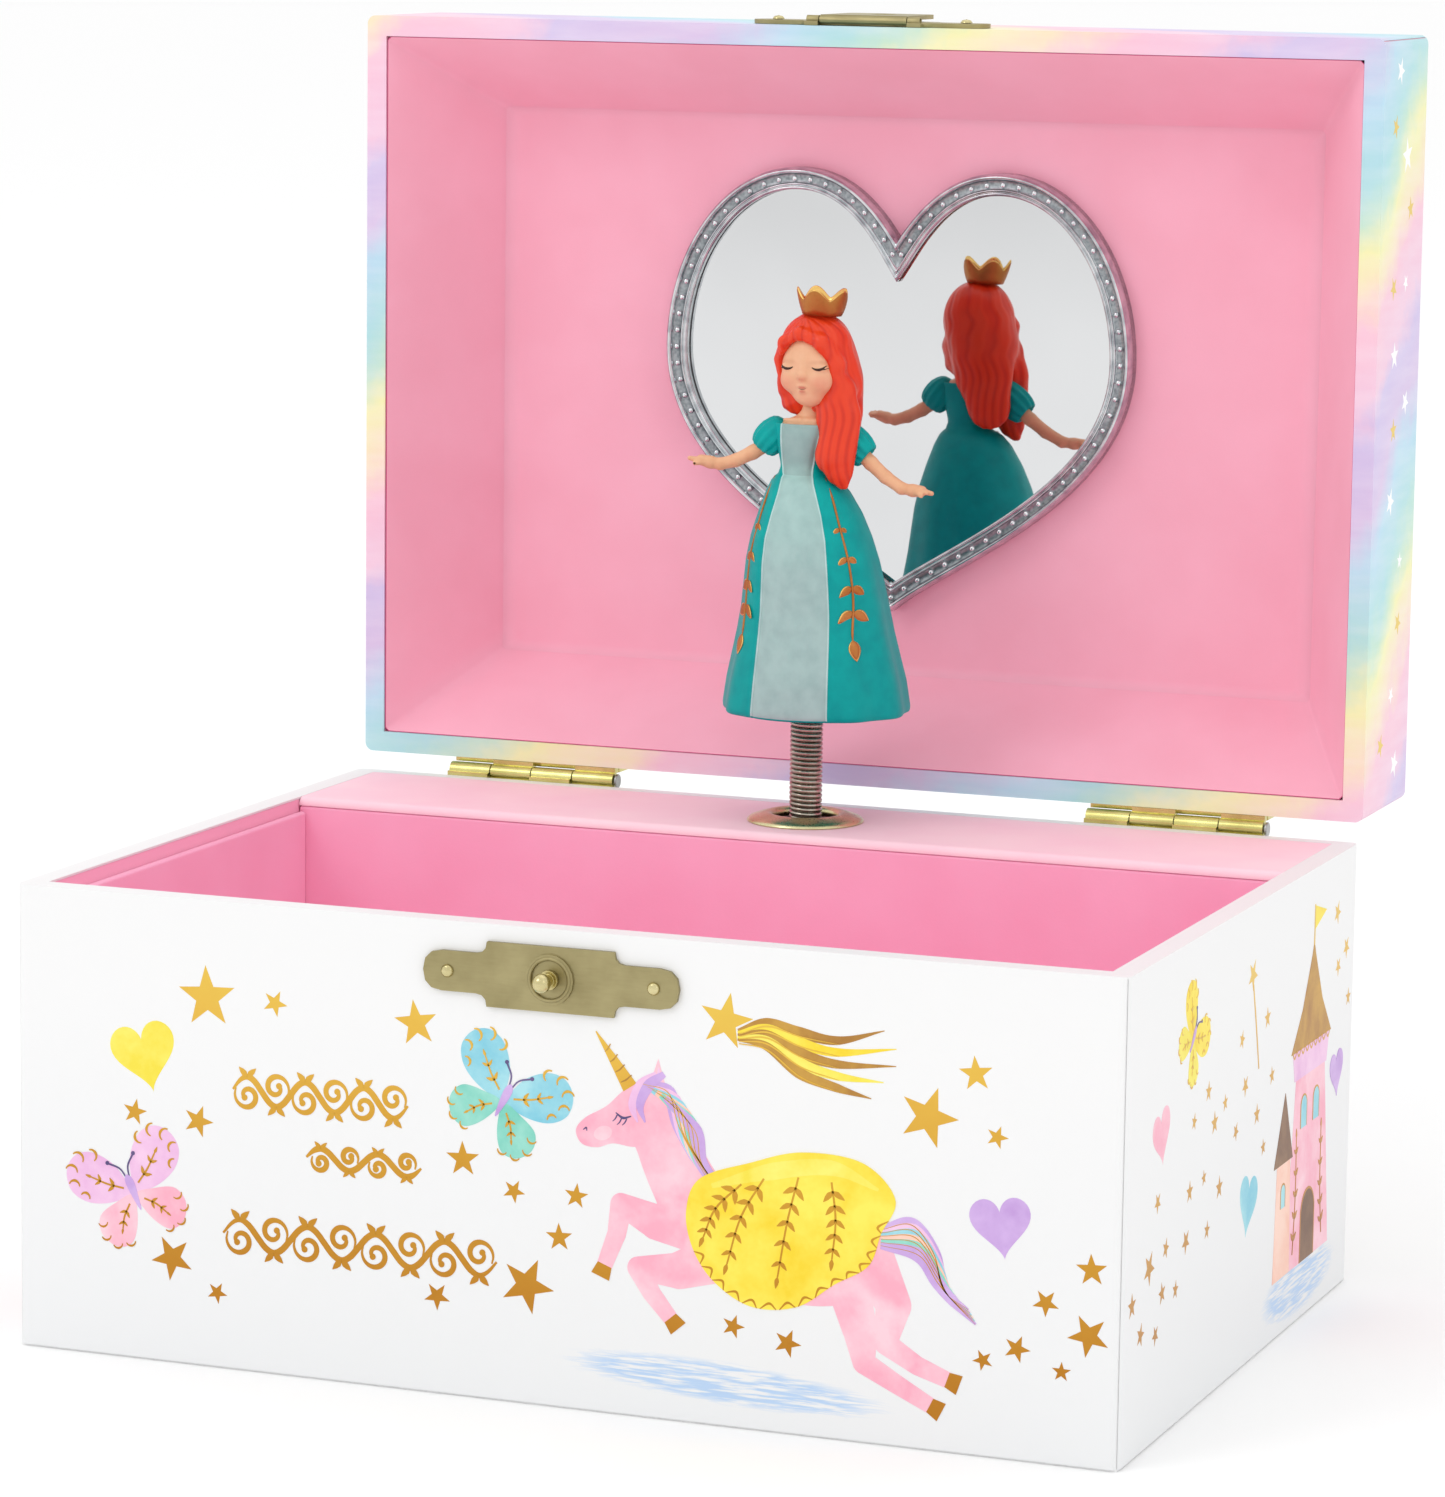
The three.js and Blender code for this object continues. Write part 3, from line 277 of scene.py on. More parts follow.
def stamped_foil():
    """Hot-stamped gold foil, slightly crazed, with painted light: lemon gold high on the box as a painted
    highlight, deep amber low down as painted shade.
    """
    material, tree, shader, place = new_finish("stamped_gold_foil", 0.34, 0.75)
    height = add(tree, "ShaderNodeSeparateXYZ", {0: place}).outputs["Z"]
    patch = add(tree, "ShaderNodeTexNoise", {"Vector": place, "Scale": 1 / (7 * MM), "Detail": 2.0})
    foil_light_by_height = add(
        tree, "ShaderNodeMath", {0: patch.outputs["Fac"], 1: 0.012, 2: height}, operation="MULTIPLY_ADD"
    )
    span = add(tree, "ShaderNodeMapRange", {0: foil_light_by_height.outputs[0], 1: 0.014, 2: 0.066})
    # Painted highlight high up and painted shade low down, by height alone.
    tones = [(0.0, "#B87A24"), (0.45, "#CF9A36"), (0.72, "#E2B44A"), (1.0, "#EBCB5A")]
    tone = add(tree, "ShaderNodeValToRGB", {0: span.outputs[0]}, tones)
    tree.links.new(tone.outputs["Color"], shader.inputs["Base Color"])
    grained(tree, shader, place, 0.4, 0.4, 0.02, detail=3.0)
    return material


def silvered_acrylic():
    """Back-silvered acrylic sheet: a slightly grey mirror with a barely uneven surface."""
    material, tree, shader, place = new_finish("silvered_acrylic", 0.02, 1.0)
    dappled(tree, shader, place, 30, "#D2D3D4", "#D8D9DA", high=0.7, detail=2.0)
    return material


def painted_face():
    """Flesh enamel with airbrushed blush and painted lips, laid where the head's own attributes say."""
    material, tree, shader, place = new_finish("flesh_enamel_face", 0.46, IOR=1.5, Subsurface_Weight=0.08)
    shader.inputs["Subsurface Radius"].default_value = (1.0 * MM, 0.5 * MM, 0.3 * MM)
    mottle = add(tree, "ShaderNodeTexNoise", {"Vector": place, "Scale": 1 / (3 * MM), "Detail": 3.0})
    skin = add(tree, "ShaderNodeValToRGB", {0: mottle.outputs["Fac"]}, [(0.3, "#E2AC84"), (0.7, "#EDBB95")])
    colour = skin.outputs["Color"]
    for attribute, hex_colour in (("blush", "#E0806A"), ("lips", "#C2604F"), ("shade", "#C98F6C")):
        share = add(tree, "ShaderNodeAttribute", attribute_name=attribute).outputs["Fac"]
        mixed = add(
            tree, "ShaderNodeMix", {"Factor": share, 6: colour, 7: linear(hex_colour)}, data_type="RGBA"
        )
        colour = mixed.outputs[2]
    tree.links.new(colour, shader.inputs["Base Color"])
    return material


def lacquered_hair():
    """Orange-red enamel over moulded locks, with a painted highlight on the ridges and painted shade in the
    grooves.
    """
    material, tree, shader, place = new_finish("hair_enamel", 0.3, IOR=1.5, Specular_IOR_Level=0.35)
    # The attribute is 1 on the ridges and 0 in the grooves: it lays the painted highlight and the painted
    # shade.
    groove = add(tree, "ShaderNodeAttribute", attribute_name="groove").outputs["Fac"]
    patch = add(tree, "ShaderNodeTexNoise", {"Vector": place, "Scale": 1 / (4 * MM), "Detail": 3.0})
    both = add(tree, "ShaderNodeMath", {0: patch.outputs["Fac"], 1: 0.5, 2: groove}, operation="MULTIPLY_ADD")
    tones = [(0.2, "#CE3017"), (0.6, "#DE3819"), (0.95, "#E5401D")]
    tone = add(tree, "ShaderNodeValToRGB", {0: both.outputs[0]}, tones)
    tree.links.new(tone.outputs["Color"], shader.inputs["Base Color"])
    return material


def turned_in_edges():
    """Board covered in lining paper, with the white art paper turned under its foot and over its corners."""
    corner_strip = 1.0  # of white paper inside the wrap's faces
    material, tree, shader, place = new_finish("covered_board", 0.75)
    height = add(tree, "ShaderNodeSeparateXYZ", {0: place}).outputs["Z"]
    cloud = add(tree, "ShaderNodeTexNoise", {"Vector": place, "Scale": 1 / (12 * MM), "Detail": 3.0})
    uneven = add(
        tree, "ShaderNodeMath", {0: cloud.outputs["Fac"], 1: 0.0006, 2: height}, operation="MULTIPLY_ADD"
    )
    share = add(tree, "ShaderNodeMapRange", {0: uneven.outputs[0], 1: 2.0 * MM, 2: 2.6 * MM})
    axes = add(tree, "ShaderNodeSeparateXYZ", {0: place}).outputs
    past = []
    for axis, half in (("X", SIDE_X - corner_strip), ("Y", -FRONT_Y - corner_strip)):
        span = add(tree, "ShaderNodeMath", {0: axes[axis]}, operation="ABSOLUTE")
        past.append(
            add(tree, "ShaderNodeMath", {0: span.outputs[0], 1: half * MM}, operation="LESS_THAN").outputs[0]
        )
    inner = add(tree, "ShaderNodeMath", {0: past[0], 1: past[1]}, operation="MAXIMUM")
    pink = add(tree, "ShaderNodeMath", {0: share.outputs[0], 1: inner.outputs[0]}, operation="MULTIPLY")
    mixed = add(
        tree, "ShaderNodeMix", {"Factor": pink.outputs[0], 6: linear("#F0F0F0"), 7: linear("#FFBAD4")},
        data_type="RGBA"
    )
    tree.links.new(mixed.outputs[2], shader.inputs["Base Color"])
    return material


WHITE_PAPER = laminated_art_paper()
BOARD_EDGE = turned_in_edges()
PASTEL_PAPER = pastel_wash_paper()
FOIL = stamped_foil()
MIRROR = silvered_acrylic()
FACE = painted_face()
HAIR = lacquered_hair()
# Uncoated pink paper over padded card: matt, faintly clouded where the glue has wetted it.
LINING = paper("pink_lining_paper", "#FFB8D5", "#FDB1CF", rough=0.78, Sheen_Weight=0.12)
# The same paper in the lid, a little paler from the light that it catches.
TRAY = paper("pink_tray_paper", "#FAB7CB", "#F7B1C5", rough=0.74, Sheen_Weight=0.1)
# Paler satin paper on the shelf.
SHELF = paper("pale_pink_shelf_paper", "#FFDAE3", "#FDD2DF", rough=0.6)
# Painted shade: a darker pink band at the top of the lid tray's walls, for the shadow in the gap at the rim.
RIM_GAP_SHADE = paper("pink_rim_gap_painted_shade", "#E4709A", "#DC6490", rough=0.75)
# Bare grey-brown board shows on the underside only.
RAW_BOARD = paper("raw_fibreboard", "#C9AD86", "#B0936B", rough=0.9, fibre=0.6, relief=0.15)
# Stamped sheet brass, antique-lacquered: flat olive-gold with the drawing marks along X.
STAMPED_BRASS = metal("stamped_lacquered_brass", "#ABA076", "#988D65", 0.42, streak=(0.12, 1, 1))
# Rolled hinge brass is bright-dipped, so it is yellower and sharper.
HINGE_BRASS = metal("bright_rolled_brass", "#D6CE86", "#B8AE66", 0.24, streak=(0.1, 1, 1))
# The eyelet is spun, with its marks round the axis too fine to show one by one.
EYELET_BRASS = metal("spun_eyelet_brass", "#DAD3A6", "#C2B98A", 0.3)
NAIL_BRASS = metal("headed_nail_brass", "#D9CE9E", "#B4A66E", 0.2)
MOVEMENT_BRASS = metal("machined_movement_brass", "#CDB468", "#B89C50", 0.3)
# Close-wound nickel-plated wire, darkened between the turns.
NICKEL_WIRE = metal("nickel_plated_wire", "#B9AFA3", "#91877B", 0.22, grain=0.15)
STEEL = metal("turned_steel", "#B0B0AE", "#8E8E8C", 0.3)
# Vacuum-metallised mouldings: bright rims, and a band etched in the tool so that it reads grey and grainy.
PLATED_RIM = metal("metallised_rim", "#D2D6D8", "#A3A9AE", 0.1, relief=0.004, tarnish=2.2)
PLATED_BAND = metal(
    "metallised_etched_band", "#A3A8AB", "#7C8286", 0.34, grain=0.22, relief=0.05, tarnish=0.45
)
# Painted shadow: the moulding's inner wall down to the glass is painted dark for the shade in the gap at the
# glass.
SHADOW_GAP = metal("painted_shadow_at_the_glass", "#5A5E60", "#3C4042", 0.4)
# Bead tops are the brightest plating.
PLATED_BEAD = metal("metallised_bead", "#E2E6E8", "#C8CDD0", 0.1)
TEAL = enamel("teal_gown_enamel", "#02A6A1", "#019A98", brush=(1, 1, 0.3), shine=0.14)
PANEL = enamel("pale_panel_enamel", "#A5C8C3", "#99BCB8", brush=(1, 1, 0.3))
BODICE = enamel("grey_bodice_enamel", "#98B7B3", "#8CABA8", brush=(1, 1, 0.3))
# Painted highlight: the raised piping along the panel's edges is painted paler than the panel, as the light
# line along its ridge.
PIPING_HIGHLIGHT = enamel("piping_painted_highlight_enamel", "#BFE0DC", "#A8D0CC")
SKIN = enamel("flesh_enamel", "#E8B58D", "#DDA67E", rough=0.48, relief=0.015)
LASH = enamel("umber_lash_enamel", "#3A2418", "#2A180F", rough=0.5)
GILT = metal("gilt_paint", "#C08048", "#AB6C36", 0.45, grain=0.3, relief=0.03)
# Painted highlight: brighter gilt on the crown's top rim and round the rims of the vine's leaves.
GILT_HIGHLIGHT = metal("gilt_painted_highlight", "#EBC273", "#DDB060", 0.3)
LEMON_WASH = watercolour("lemon_wash", "#F8EE72", "#F0DC3C")
LILAC_WASH = watercolour("lilac_wash", "#D3B3E6", "#BE97D6")
ROSE_WASH = watercolour("rose_wash", "#FACDD8", "#F4A9BE")
BLUSH_WASH = watercolour("blush_wash", "#FADBE2", "#F3BDCB")
ORCHID_WASH = watercolour("orchid_wash", "#F4CCE8", "#E6B2DC")
AQUA_WASH = watercolour("aqua_wash", "#A8DDE6", "#7CC6DA")
MINT_WASH = watercolour("mint_wash", "#A6E0D2", "#78CCBA")
SUN_WASH = watercolour("sun_wash", "#FAE856", "#F2D21E")
AMBER_WASH = watercolour("amber_wash", "#C99A3C", "#A8742A")
PEACH_WASH = watercolour("peach_wash", "#FBD5C4", "#F5BCA6")
UMBER_WASH = watercolour("umber_wash", "#8F6A4A", "#6F4A30")
INK = watercolour("violet_ink", "#6A5A8C", "#4E4272")
WHITE_INK = watercolour("white_ink", "#FFFFFF", "#FAFAFA")


# ---------------------------------------------------------------- mesh helpers


def shown(name, data):
    """Puts a mesh, a light or the camera into the scene."""
    made = bpy.data.objects.new(name, data)
    bpy.context.scene.collection.objects.link(made)
    return made


def shade(mesh, smooth=True):
    mesh.polygons.foreach_set("use_smooth", [smooth] * len(mesh.polygons))


def tag(mesh, name, values):
    """Stores one number per point, for a material or a tree to read."""
    mesh.attributes.new(name, "FLOAT", "POINT").data.foreach_set("value", np.asarray(values, np.float32))


def make_piece(
    name, points, faces, looks, body, slot, face_looks=None, stands_for=(), smooth=True, recalc=False
):
    """A piece from points in millimetres. looks is one material or several; face_looks picks one per face."""
    mesh = bpy.data.meshes.new(name)
    mesh.from_pydata((np.asarray(points, float) * MM).tolist(), [], [tuple(map(int, f)) for f in faces])
    for look in looks if isinstance(looks, (list, tuple)) else [looks]:
        mesh.materials.append(look)
    if face_looks is not None:
        mesh.polygons.foreach_set("material_index", np.asarray(face_looks, np.int32))
    shade(mesh, smooth)
    if recalc:
        work = bmesh.new()
        work.from_mesh(mesh)
        bmesh.ops.recalc_face_normals(work, faces=work.faces)
        work.to_mesh(mesh)
        work.free()
    mesh.update()
    return settle(shown(name, mesh), body, slot, stands_for)


def settle(piece, body, slot, stands_for=()):
    """Lets a piece ride on its body and stand for CAD nodes; slot is not used."""
    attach(piece, body)
    if stands_for:
        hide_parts(*stands_for)
    return piece


def bevelled(piece, width, segments=2, angle=35):
    """Rounds a piece's edges by `width` mm."""
    bevel = piece.modifiers.new("rounded edges", "BEVEL")
    bevel.width, bevel.segments, bevel.angle_limit = width * MM, segments, math.radians(angle)
    # Keeps the big faces flat beside their rounding.
    flat = piece.modifiers.new("flat faces", "WEIGHTED_NORMAL")
    flat.mode, flat.weight = "FACE_AREA", 50
    return piece


def refined(node, look, slot, width=0.12, segments=2, name=None):
    """A CAD node's own shape with its triangles merged and its edges rounded, in place of the node."""
    work = bmesh.new()
    work.from_mesh(nodes[node].data)
    bmesh.ops.remove_doubles(work, verts=work.verts, dist=1e-6)
    bmesh.ops.dissolve_limit(work, angle_limit=math.radians(1.5), verts=work.verts, edges=work.edges)
    mesh = bpy.data.meshes.new(name or node + "_finished")
    work.to_mesh(mesh)
    work.free()
    mesh.materials.append(look)
    shade(mesh)
    piece = shown(mesh.name, mesh)
    bevelled(piece, width, segments)
    return settle(piece, NODE_BODY[node], slot, [node])


def ring_grid(rows, closed_round=True):
    """Quads between rows of points, each row of the same length."""
    count, across = len(rows), len(rows[0])
    last = across if closed_round else across - 1
    faces = []
    for i in range(count - 1):
        for j in range(last):
            k = (j + 1) % across
            faces.append((i * across + j, i * across + k, (i + 1) * across + k, (i + 1) * across + j))
    return np.concatenate([np.asarray(r, float) for r in rows]), faces


def capped(rows):
    """A closed skin over rings of points, each end closed by a fan to its middle."""
    points, faces = ring_grid(rows)
    across = len(rows[0])
    low, high = len(points), len(points) + 1
    first, last = np.asarray(rows[0], float), np.asarray(rows[-1], float)
    points = np.vstack([points, first.mean(0), last.mean(0)])
    top = (len(rows) - 1) * across
    for j in range(across):
        k = (j + 1) % across
        faces.append((low, k, j))
        faces.append((high, top + j, top + k))
    return points, faces


def turned(profile, centre=(0, 0), sides=64):
    """Rings turned about +Z from (radius, z) pairs."""
    angles = np.linspace(0, 2 * math.pi, sides, endpoint=False)
    ring = np.stack([np.cos(angles), np.sin(angles)], 1)
    return [np.column_stack([np.asarray(centre) + r * ring, np.full(sides, z)]) for r, z in profile]


def smooth_path(points, count):
    """`count` points along a Catmull-Rom curve through the given ones."""
    p = np.asarray(points, float)
    p = np.vstack([2 * p[0] - p[1], p, 2 * p[-1] - p[-2]])
    spans = len(p) - 3
    found = []
    for t in np.linspace(0, spans, count):
        i = min(int(t), spans - 1)
        u = t - i
        a, b, c, d = p[i : i + 4]
        square, cube = 2 * a - 5 * b + 4 * c - d, 3 * b - a - 3 * c + d
        found.append(0.5 * (2 * b + (c - a) * u + square * u**2 + cube * u**3))
    return np.array(found)


def swept(path, radii, sides=12, flat=1.0, up=(0, 0, 1)):
    """A closed tube along a path. radii has one value per point, and flat squeezes it across `up`."""
    path, rows = np.asarray(path, float), []
    tangents = np.gradient(path, axis=0)
    for point, tangent, radius in zip(path, tangents, radii):
        tangent = tangent / np.linalg.norm(tangent)
        side = np.cross(tangent, up)
        side /= np.linalg.norm(side)
        over = np.cross(side, tangent)
        angles = np.linspace(0, 2 * math.pi, sides, endpoint=False)
        rows.append(point + radius * (np.outer(np.cos(angles), side) + flat * np.outer(np.sin(angles), over)))
    return capped(rows)


def joined(parts):
    """Several (points, faces) as one."""
    points, faces, start = [], [], 0
    for p, f in parts:
        points.append(np.asarray(p, float))
        faces += [tuple(i + start for i in face) for face in f]
        start += len(p)
    return np.concatenate(points), faces


def modelled(field, low, high, step):
    """Points and quads of the skin where field is zero, by surface nets. field is negative inside."""
    grid = np.stack(np.meshgrid(*[np.arange(a, b, step) for a, b in zip(low, high)], indexing="ij"), -1)
    value = field(grid[..., 0], grid[..., 1], grid[..., 2])
    cells = [n - 1 for n in value.shape]
    total, count = np.zeros((*cells, 3)), np.zeros(cells)
    crossings = []
    for axis in range(3):
        near, far = [slice(None)] * 3, [slice(None)] * 3
        near[axis], far[axis] = slice(0, -1), slice(1, None)
        a, b = value[tuple(near)], value[tuple(far)]
        crossed = (a < 0) != (b < 0)
        crossings.append((crossed, a < 0))
        point = grid[tuple(near)].copy()
        point[..., axis] += np.where(crossed, a / np.where(crossed, a - b, 1), 0) * step
        point[~crossed] = 0
        others = [i for i in range(3) if i != axis]
        for shifts in itertools.product((0, 1), repeat=2):
            cut = [slice(None)] * 3
            for other, shift in zip(others, shifts):
                cut[other] = slice(shift, shift + cells[other])
            total += point[tuple(cut)]
            count += crossed[tuple(cut)]
    live = count > 0
    index = np.full(cells, -1)
    index[live] = np.arange(live.sum())
    points = total[live] / count[live][:, None]
    faces = []
    for axis, (crossed, inward) in enumerate(crossings):
        u, v = (axis + 1) % 3, (axis + 2) % 3
        inner = [slice(None)] * 3
        inner[u] = inner[v] = slice(1, -1)
        where = np.argwhere(crossed[tuple(inner)])
        where[:, u] += 1
        where[:, v] += 1
        corners = []
        for du, dv in ((-1, -1), (0, -1), (0, 0), (-1, 0)):
            cell = where.copy()
            cell[:, u] += du
            cell[:, v] += dv
            corners.append(index[tuple(cell.T)])
        quads = np.stack(corners, 1)
        flip = ~inward[tuple(where.T)]
        quads[flip] = quads[flip][:, ::-1]
        faces.append(quads)
    for _ in range(3):  # pulls each point onto the skin along the field's slope
        x, y, z = points.T
        here, tiny = field(x, y, z), step * 0.2
        slope = np.stack(
            [field(x + tiny, y, z), field(x, y + tiny, z), field(x, y, z + tiny)], 1
        ) - here[:, None]
        slope /= tiny
        move = -here / np.maximum((slope**2).sum(1), 0.05)
        points = points + slope * np.clip(move, -step, step)[:, None]
    return points, np.concatenate(faces)


def ellipsoid(x, y, z, centre, radii):
    """Distance to an egg shape, near enough for modelling."""
    p = [(v - c) for v, c in zip((x, y, z), centre)]
    near = np.sqrt(sum((v / r) ** 2 for v, r in zip(p, radii)))
    steep = np.sqrt(sum((v / r**2) ** 2 for v, r in zip(p, radii)))
    return near * (near - 1) / np.maximum(steep, 1e-6)


def limb(x, y, z, a, b, ra, rb):
    """A round bar from a to b whose radius goes from ra to rb."""
    a, b = np.asarray(a, float), np.asarray(b, float)
    d = b - a
    t = np.clip(((x - a[0]) * d[0] + (y - a[1]) * d[1] + (z - a[2]) * d[2]) / (d @ d), 0, 1)
    gap = np.sqrt((x - a[0] - t * d[0]) ** 2 + (y - a[1] - t * d[1]) ** 2 + (z - a[2] - t * d[2]) ** 2)
    return gap - (ra + t * (rb - ra))


def melt(a, b, k):
    """Union of two fields with a fillet of about k."""
    h = np.clip(0.5 + 0.5 * (b - a) / k, 0, 1)
    return b * (1 - h) + a * h - k * h * (1 - h)


def carve(a, b, k):
    """Field a with b taken away, and a rounding of about k."""
    return -melt(-a, b, k)


def repeated(name, build, inputs, look, host_points, attributes=None, closed=False):
    """Runs a geometry-nodes tree on a line or a set of points and returns its result as a plain piece.

    build(tree, source, sockets) makes the instances and returns their socket; sockets are the named inputs.
    closed says whether the points make a closed line, and None that they are single points."""
    host_mesh = bpy.data.meshes.new(name + "_host")
    count = len(host_points)
    edges = [(i, i + 1) for i in range(count - 1)] + ([(count - 1, 0)] if closed else [])
    host_mesh.from_pydata(
        (np.asarray(host_points, float) * MM).tolist(), edges if closed is not None else [], []
    )
    for key, values in (attributes or {}).items():
        tag(host_mesh, key, values)
    host = shown(name + "_host", host_mesh)
    tree = bpy.data.node_groups.new(name, "GeometryNodeTree")
    tree.interface.new_socket("Geometry", in_out="INPUT", socket_type="NodeSocketGeometry")
    for key in inputs:
        tree.interface.new_socket(key, in_out="INPUT", socket_type="NodeSocketFloat")
    tree.interface.new_socket("Geometry", in_out="OUTPUT", socket_type="NodeSocketGeometry")
    entry = add(tree, "NodeGroupInput")
    placed = build(tree, entry.outputs[0], entry.outputs)
    real = add(tree, "GeometryNodeRealizeInstances", {0: placed})
    coloured = add(tree, "GeometryNodeSetMaterial", {"Geometry": real.outputs[0], "Material": look})
    add(tree, "NodeGroupOutput", {0: coloured.outputs[0]})
    modifier = host.modifiers.new(name, "NODES")
    modifier.node_group = tree
    for item in tree.interface.items_tree:
        if item.in_out == "INPUT" and item.name in inputs:
            modifier[item.identifier] = float(inputs[item.name])
    bpy.context.view_layer.update()
    graph = bpy.context.evaluated_depsgraph_get()
    mesh = bpy.data.meshes.new_from_object(host.evaluated_get(graph))
    host.modifiers.clear()
    bpy.data.objects.remove(host)
    mesh.name = name
    shade(mesh)
    return shown(name, mesh)


def coat(look, *names):
    """Gives CAD nodes a finish."""
    for name in names:
        if not nodes[name].material_slots:
            nodes[name].data.materials.append(look)
        for held in nodes[name].material_slots:
            held.material = look


def loop_skin(rows):
    """A closed skin over rows that also meet end to end, as in a ring."""
    points, faces = ring_grid(list(rows) + [rows[0]])
    across, count = len(rows[0]), len(rows)
    points = points[: across * count]
    return points, [tuple(i % (across * count) for i in f) for f in faces]


# ---------------------------------------------------------------- the box, its lining and the shelf

coat(BOARD_EDGE, "base_front", "base_back", "base_left", "base_right")
coat(RAW_BOARD, "base_bottom")
coat(TRAY, "lid_front", "lid_back", "lid_left", "lid_right", "lid_top")
coat(WHITE_PAPER, "base_wrap")
coat(PASTEL_PAPER, "lid_wrap")
for side in ("front", "left", "right"):
    refined("lining_" + side, LINING, "pink_board", 0.45, 3)
refined("lining_floor", LINING, "pink_board", 0.3)
refined("deck_top", SHELF, "deck_board", 0.5, 3)
refined("deck_front", LINING, "deck_board", 0.4)


def lid_tray():
    """One folded sheet of padded card: four sloping walls, soft creases and a flat panel, on a thin back."""
    panel_low, panel_high = extent("liner_panel")
    wall_low, wall_high = extent("liner_left")[0], extent("liner_right")[1]
    low_z, high_z = extent("liner_back")[0][2], extent("liner_front")[1][2]
    thick, pad, corner, spans = 0.8, 0.3, 0.5, 30
    rim_y, deep_y = wall_low[1], panel_low[1]
    rim = [wall_low[0] + 0.02, wall_high[0] - 0.02, low_z, high_z]
    deep = [panel_low[0], panel_high[0], panel_low[2], panel_high[2]]
    middle = [0.0, 0.0, (deep[2] + deep[3]) / 2, (deep[2] + deep[3]) / 2]

    def loop(box, y, swell=0.0):
        left, right, bottom, top = box[0] + swell, box[1] - swell, box[2] + swell, box[3] - swell
        row = []
        for (ax, az), (bx, bz) in (((left, bottom), (right, bottom)), ((right, bottom), (right, top)),
                                   ((right, top), (left, top)), ((left, top), (left, bottom))):
            length = math.hypot(bx - ax, bz - az)
            cut = min(corner, length * 0.1) / max(length, 1e-6)
            for k in range(spans):
                s = cut + (1 - 2 * cut) * k / (spans - 1)
                row.append((ax + (bx - ax) * s, y, az + (bz - az) * s))
        return row

    def between(one, two, t):
        return [p + (q - p) * t for p, q in zip(one, two)]

    rows = [loop(between(middle, deep, t), deep_y) for t in (0.03, 0.3, 0.6, 0.85, 0.96)]
    # Share of the way up the wall, and the dip of the crease at its foot.
    wall = [(0.0, -0.05), (0.015, -0.03)]
    wall += [(t, 0) for t in (0.05, 0.12, 0.3, 0.5, 0.7, 0.88, 0.95, 0.98, 0.994)]
    for t, lift in wall:
        y = deep_y + (rim_y - deep_y) * t + lift
        rows.append(loop(between(deep, rim, t), y, pad * math.sin(math.pi * t) ** 0.5))
    rows.append(loop(rim, rim_y))
    rows.append(loop(between(rim, deep, 0.02), rim_y + thick))
    for t in (0.3, 0.6, 0.98):
        rows.append(loop(between(rim, deep, t), rim_y + thick + (deep_y - rim_y) * t, -thick * 0.5 * t))
    rows += [loop(between(deep, middle, t), deep_y + thick) for t in (0.05, 0.5, 0.97)]
    points, faces = capped(rows)
    # The band of faces just inside the rim takes the darker pink, a painted shade of the gap at the rim.
    edge = next(i for i, row in enumerate(rows) if abs(row[0][1] - rim_y) < 1e-9)
    across = len(rows[0])
    looks = [int(i // across == edge - 1 and i < across * (len(rows) - 1)) for i in range(len(faces))]
    return make_piece(
        "lid_tray", points, faces, [TRAY, RIM_GAP_SHADE], "lid", "pink_board", recalc=True, face_looks=looks,
        stands_for=["liner_front", "liner_back", "liner_left", "liner_right", "liner_panel"],
    )


lid_tray()


def grommet():
    """A spun eyelet: a rolled lip that curls over into the bore."""
    outer, z0, z1 = (GROMMET_HIGH[0] - GROMMET_LOW[0]) / 2, GROMMET_LOW[2], GROMMET_HIGH[2]
    bore, tall = 4.55, z1 - z0
    profile = [
        (outer, z0), (outer, z0 + 0.12 * tall), (outer - 0.35, z0 + 0.42 * tall),
        (outer - 1.1, z0 + 0.66 * tall)
    ]
    profile += [
        (outer - 1.9, z0 + 0.85 * tall), (outer - 2.5, z1), (bore + 0.75, z1), (bore + 0.35, z1 - 0.1)
    ]
    profile += [(bore + 0.08, z1 - 0.34), (bore, z1 - 0.6), (bore, z0)]
    points, faces = loop_skin(turned(profile, AXIS, 96))
    make_piece(
        "grommet_eyelet", points, faces, EYELET_BRASS, "box", "brass", recalc=True,
        stands_for=["deck_grommet"]
    )


grommet()

# ---------------------------------------------------------------- brass fittings

for node in ("latch_plate", "catch_plate", "hasp"):
    refined(node, STAMPED_BRASS, "brass", 0.14, 2)
for node in ("latch_stud", "latch_pin_left", "latch_pin_right", "catch_pin_left", "catch_pin_right"):
    refined(node, NAIL_BRASS, "brass", 0.1, 2)
for side in ("left", "right"):
    for part in ("base_leaf", "lid_leaf"):
        refined(f"hinge_{side}_{part}", HINGE_BRASS, "brass", 0.1, 2)
    refined(f"hinge_{side}_pin", STEEL, "steel", 0.08, 2)


def boss(tree, source, sockets):
    """A ring with a rounded section, stamped round the stud."""
    ring = add(tree, "GeometryNodeCurvePrimitiveCircle", {"Radius": sockets["Radius"], "Resolution": 48})
    section = add(tree, "GeometryNodeCurvePrimitiveCircle", {"Radius": sockets["Bead"], "Resolution": 10})
    tube = add(
        tree, "GeometryNodeCurveToMesh", {"Curve": ring.outputs[0], "Profile Curve": section.outputs[0]}
    )
    instances = add(tree, "GeometryNodeInstanceOnPoints", {"Points": source, "Instance": tube.outputs[0]})
    instances.inputs["Rotation"].default_value = (math.pi / 2, 0, 0)
    return instances.outputs[0]


stud_low, stud_high = extent("latch_stud")
stud = (stud_low + stud_high) / 2
latch_low = extent("latch_plate")[0]
settle(
    repeated("latch_dish_ring", boss, {"Radius": 2.7 * MM, "Bead": 0.28 * MM}, STAMPED_BRASS,
             [(stud[0], latch_low[1] + 0.1, stud[2])], closed=None),
    "box", "brass",
)

# ---------------------------------------------------------------- the heart mirror


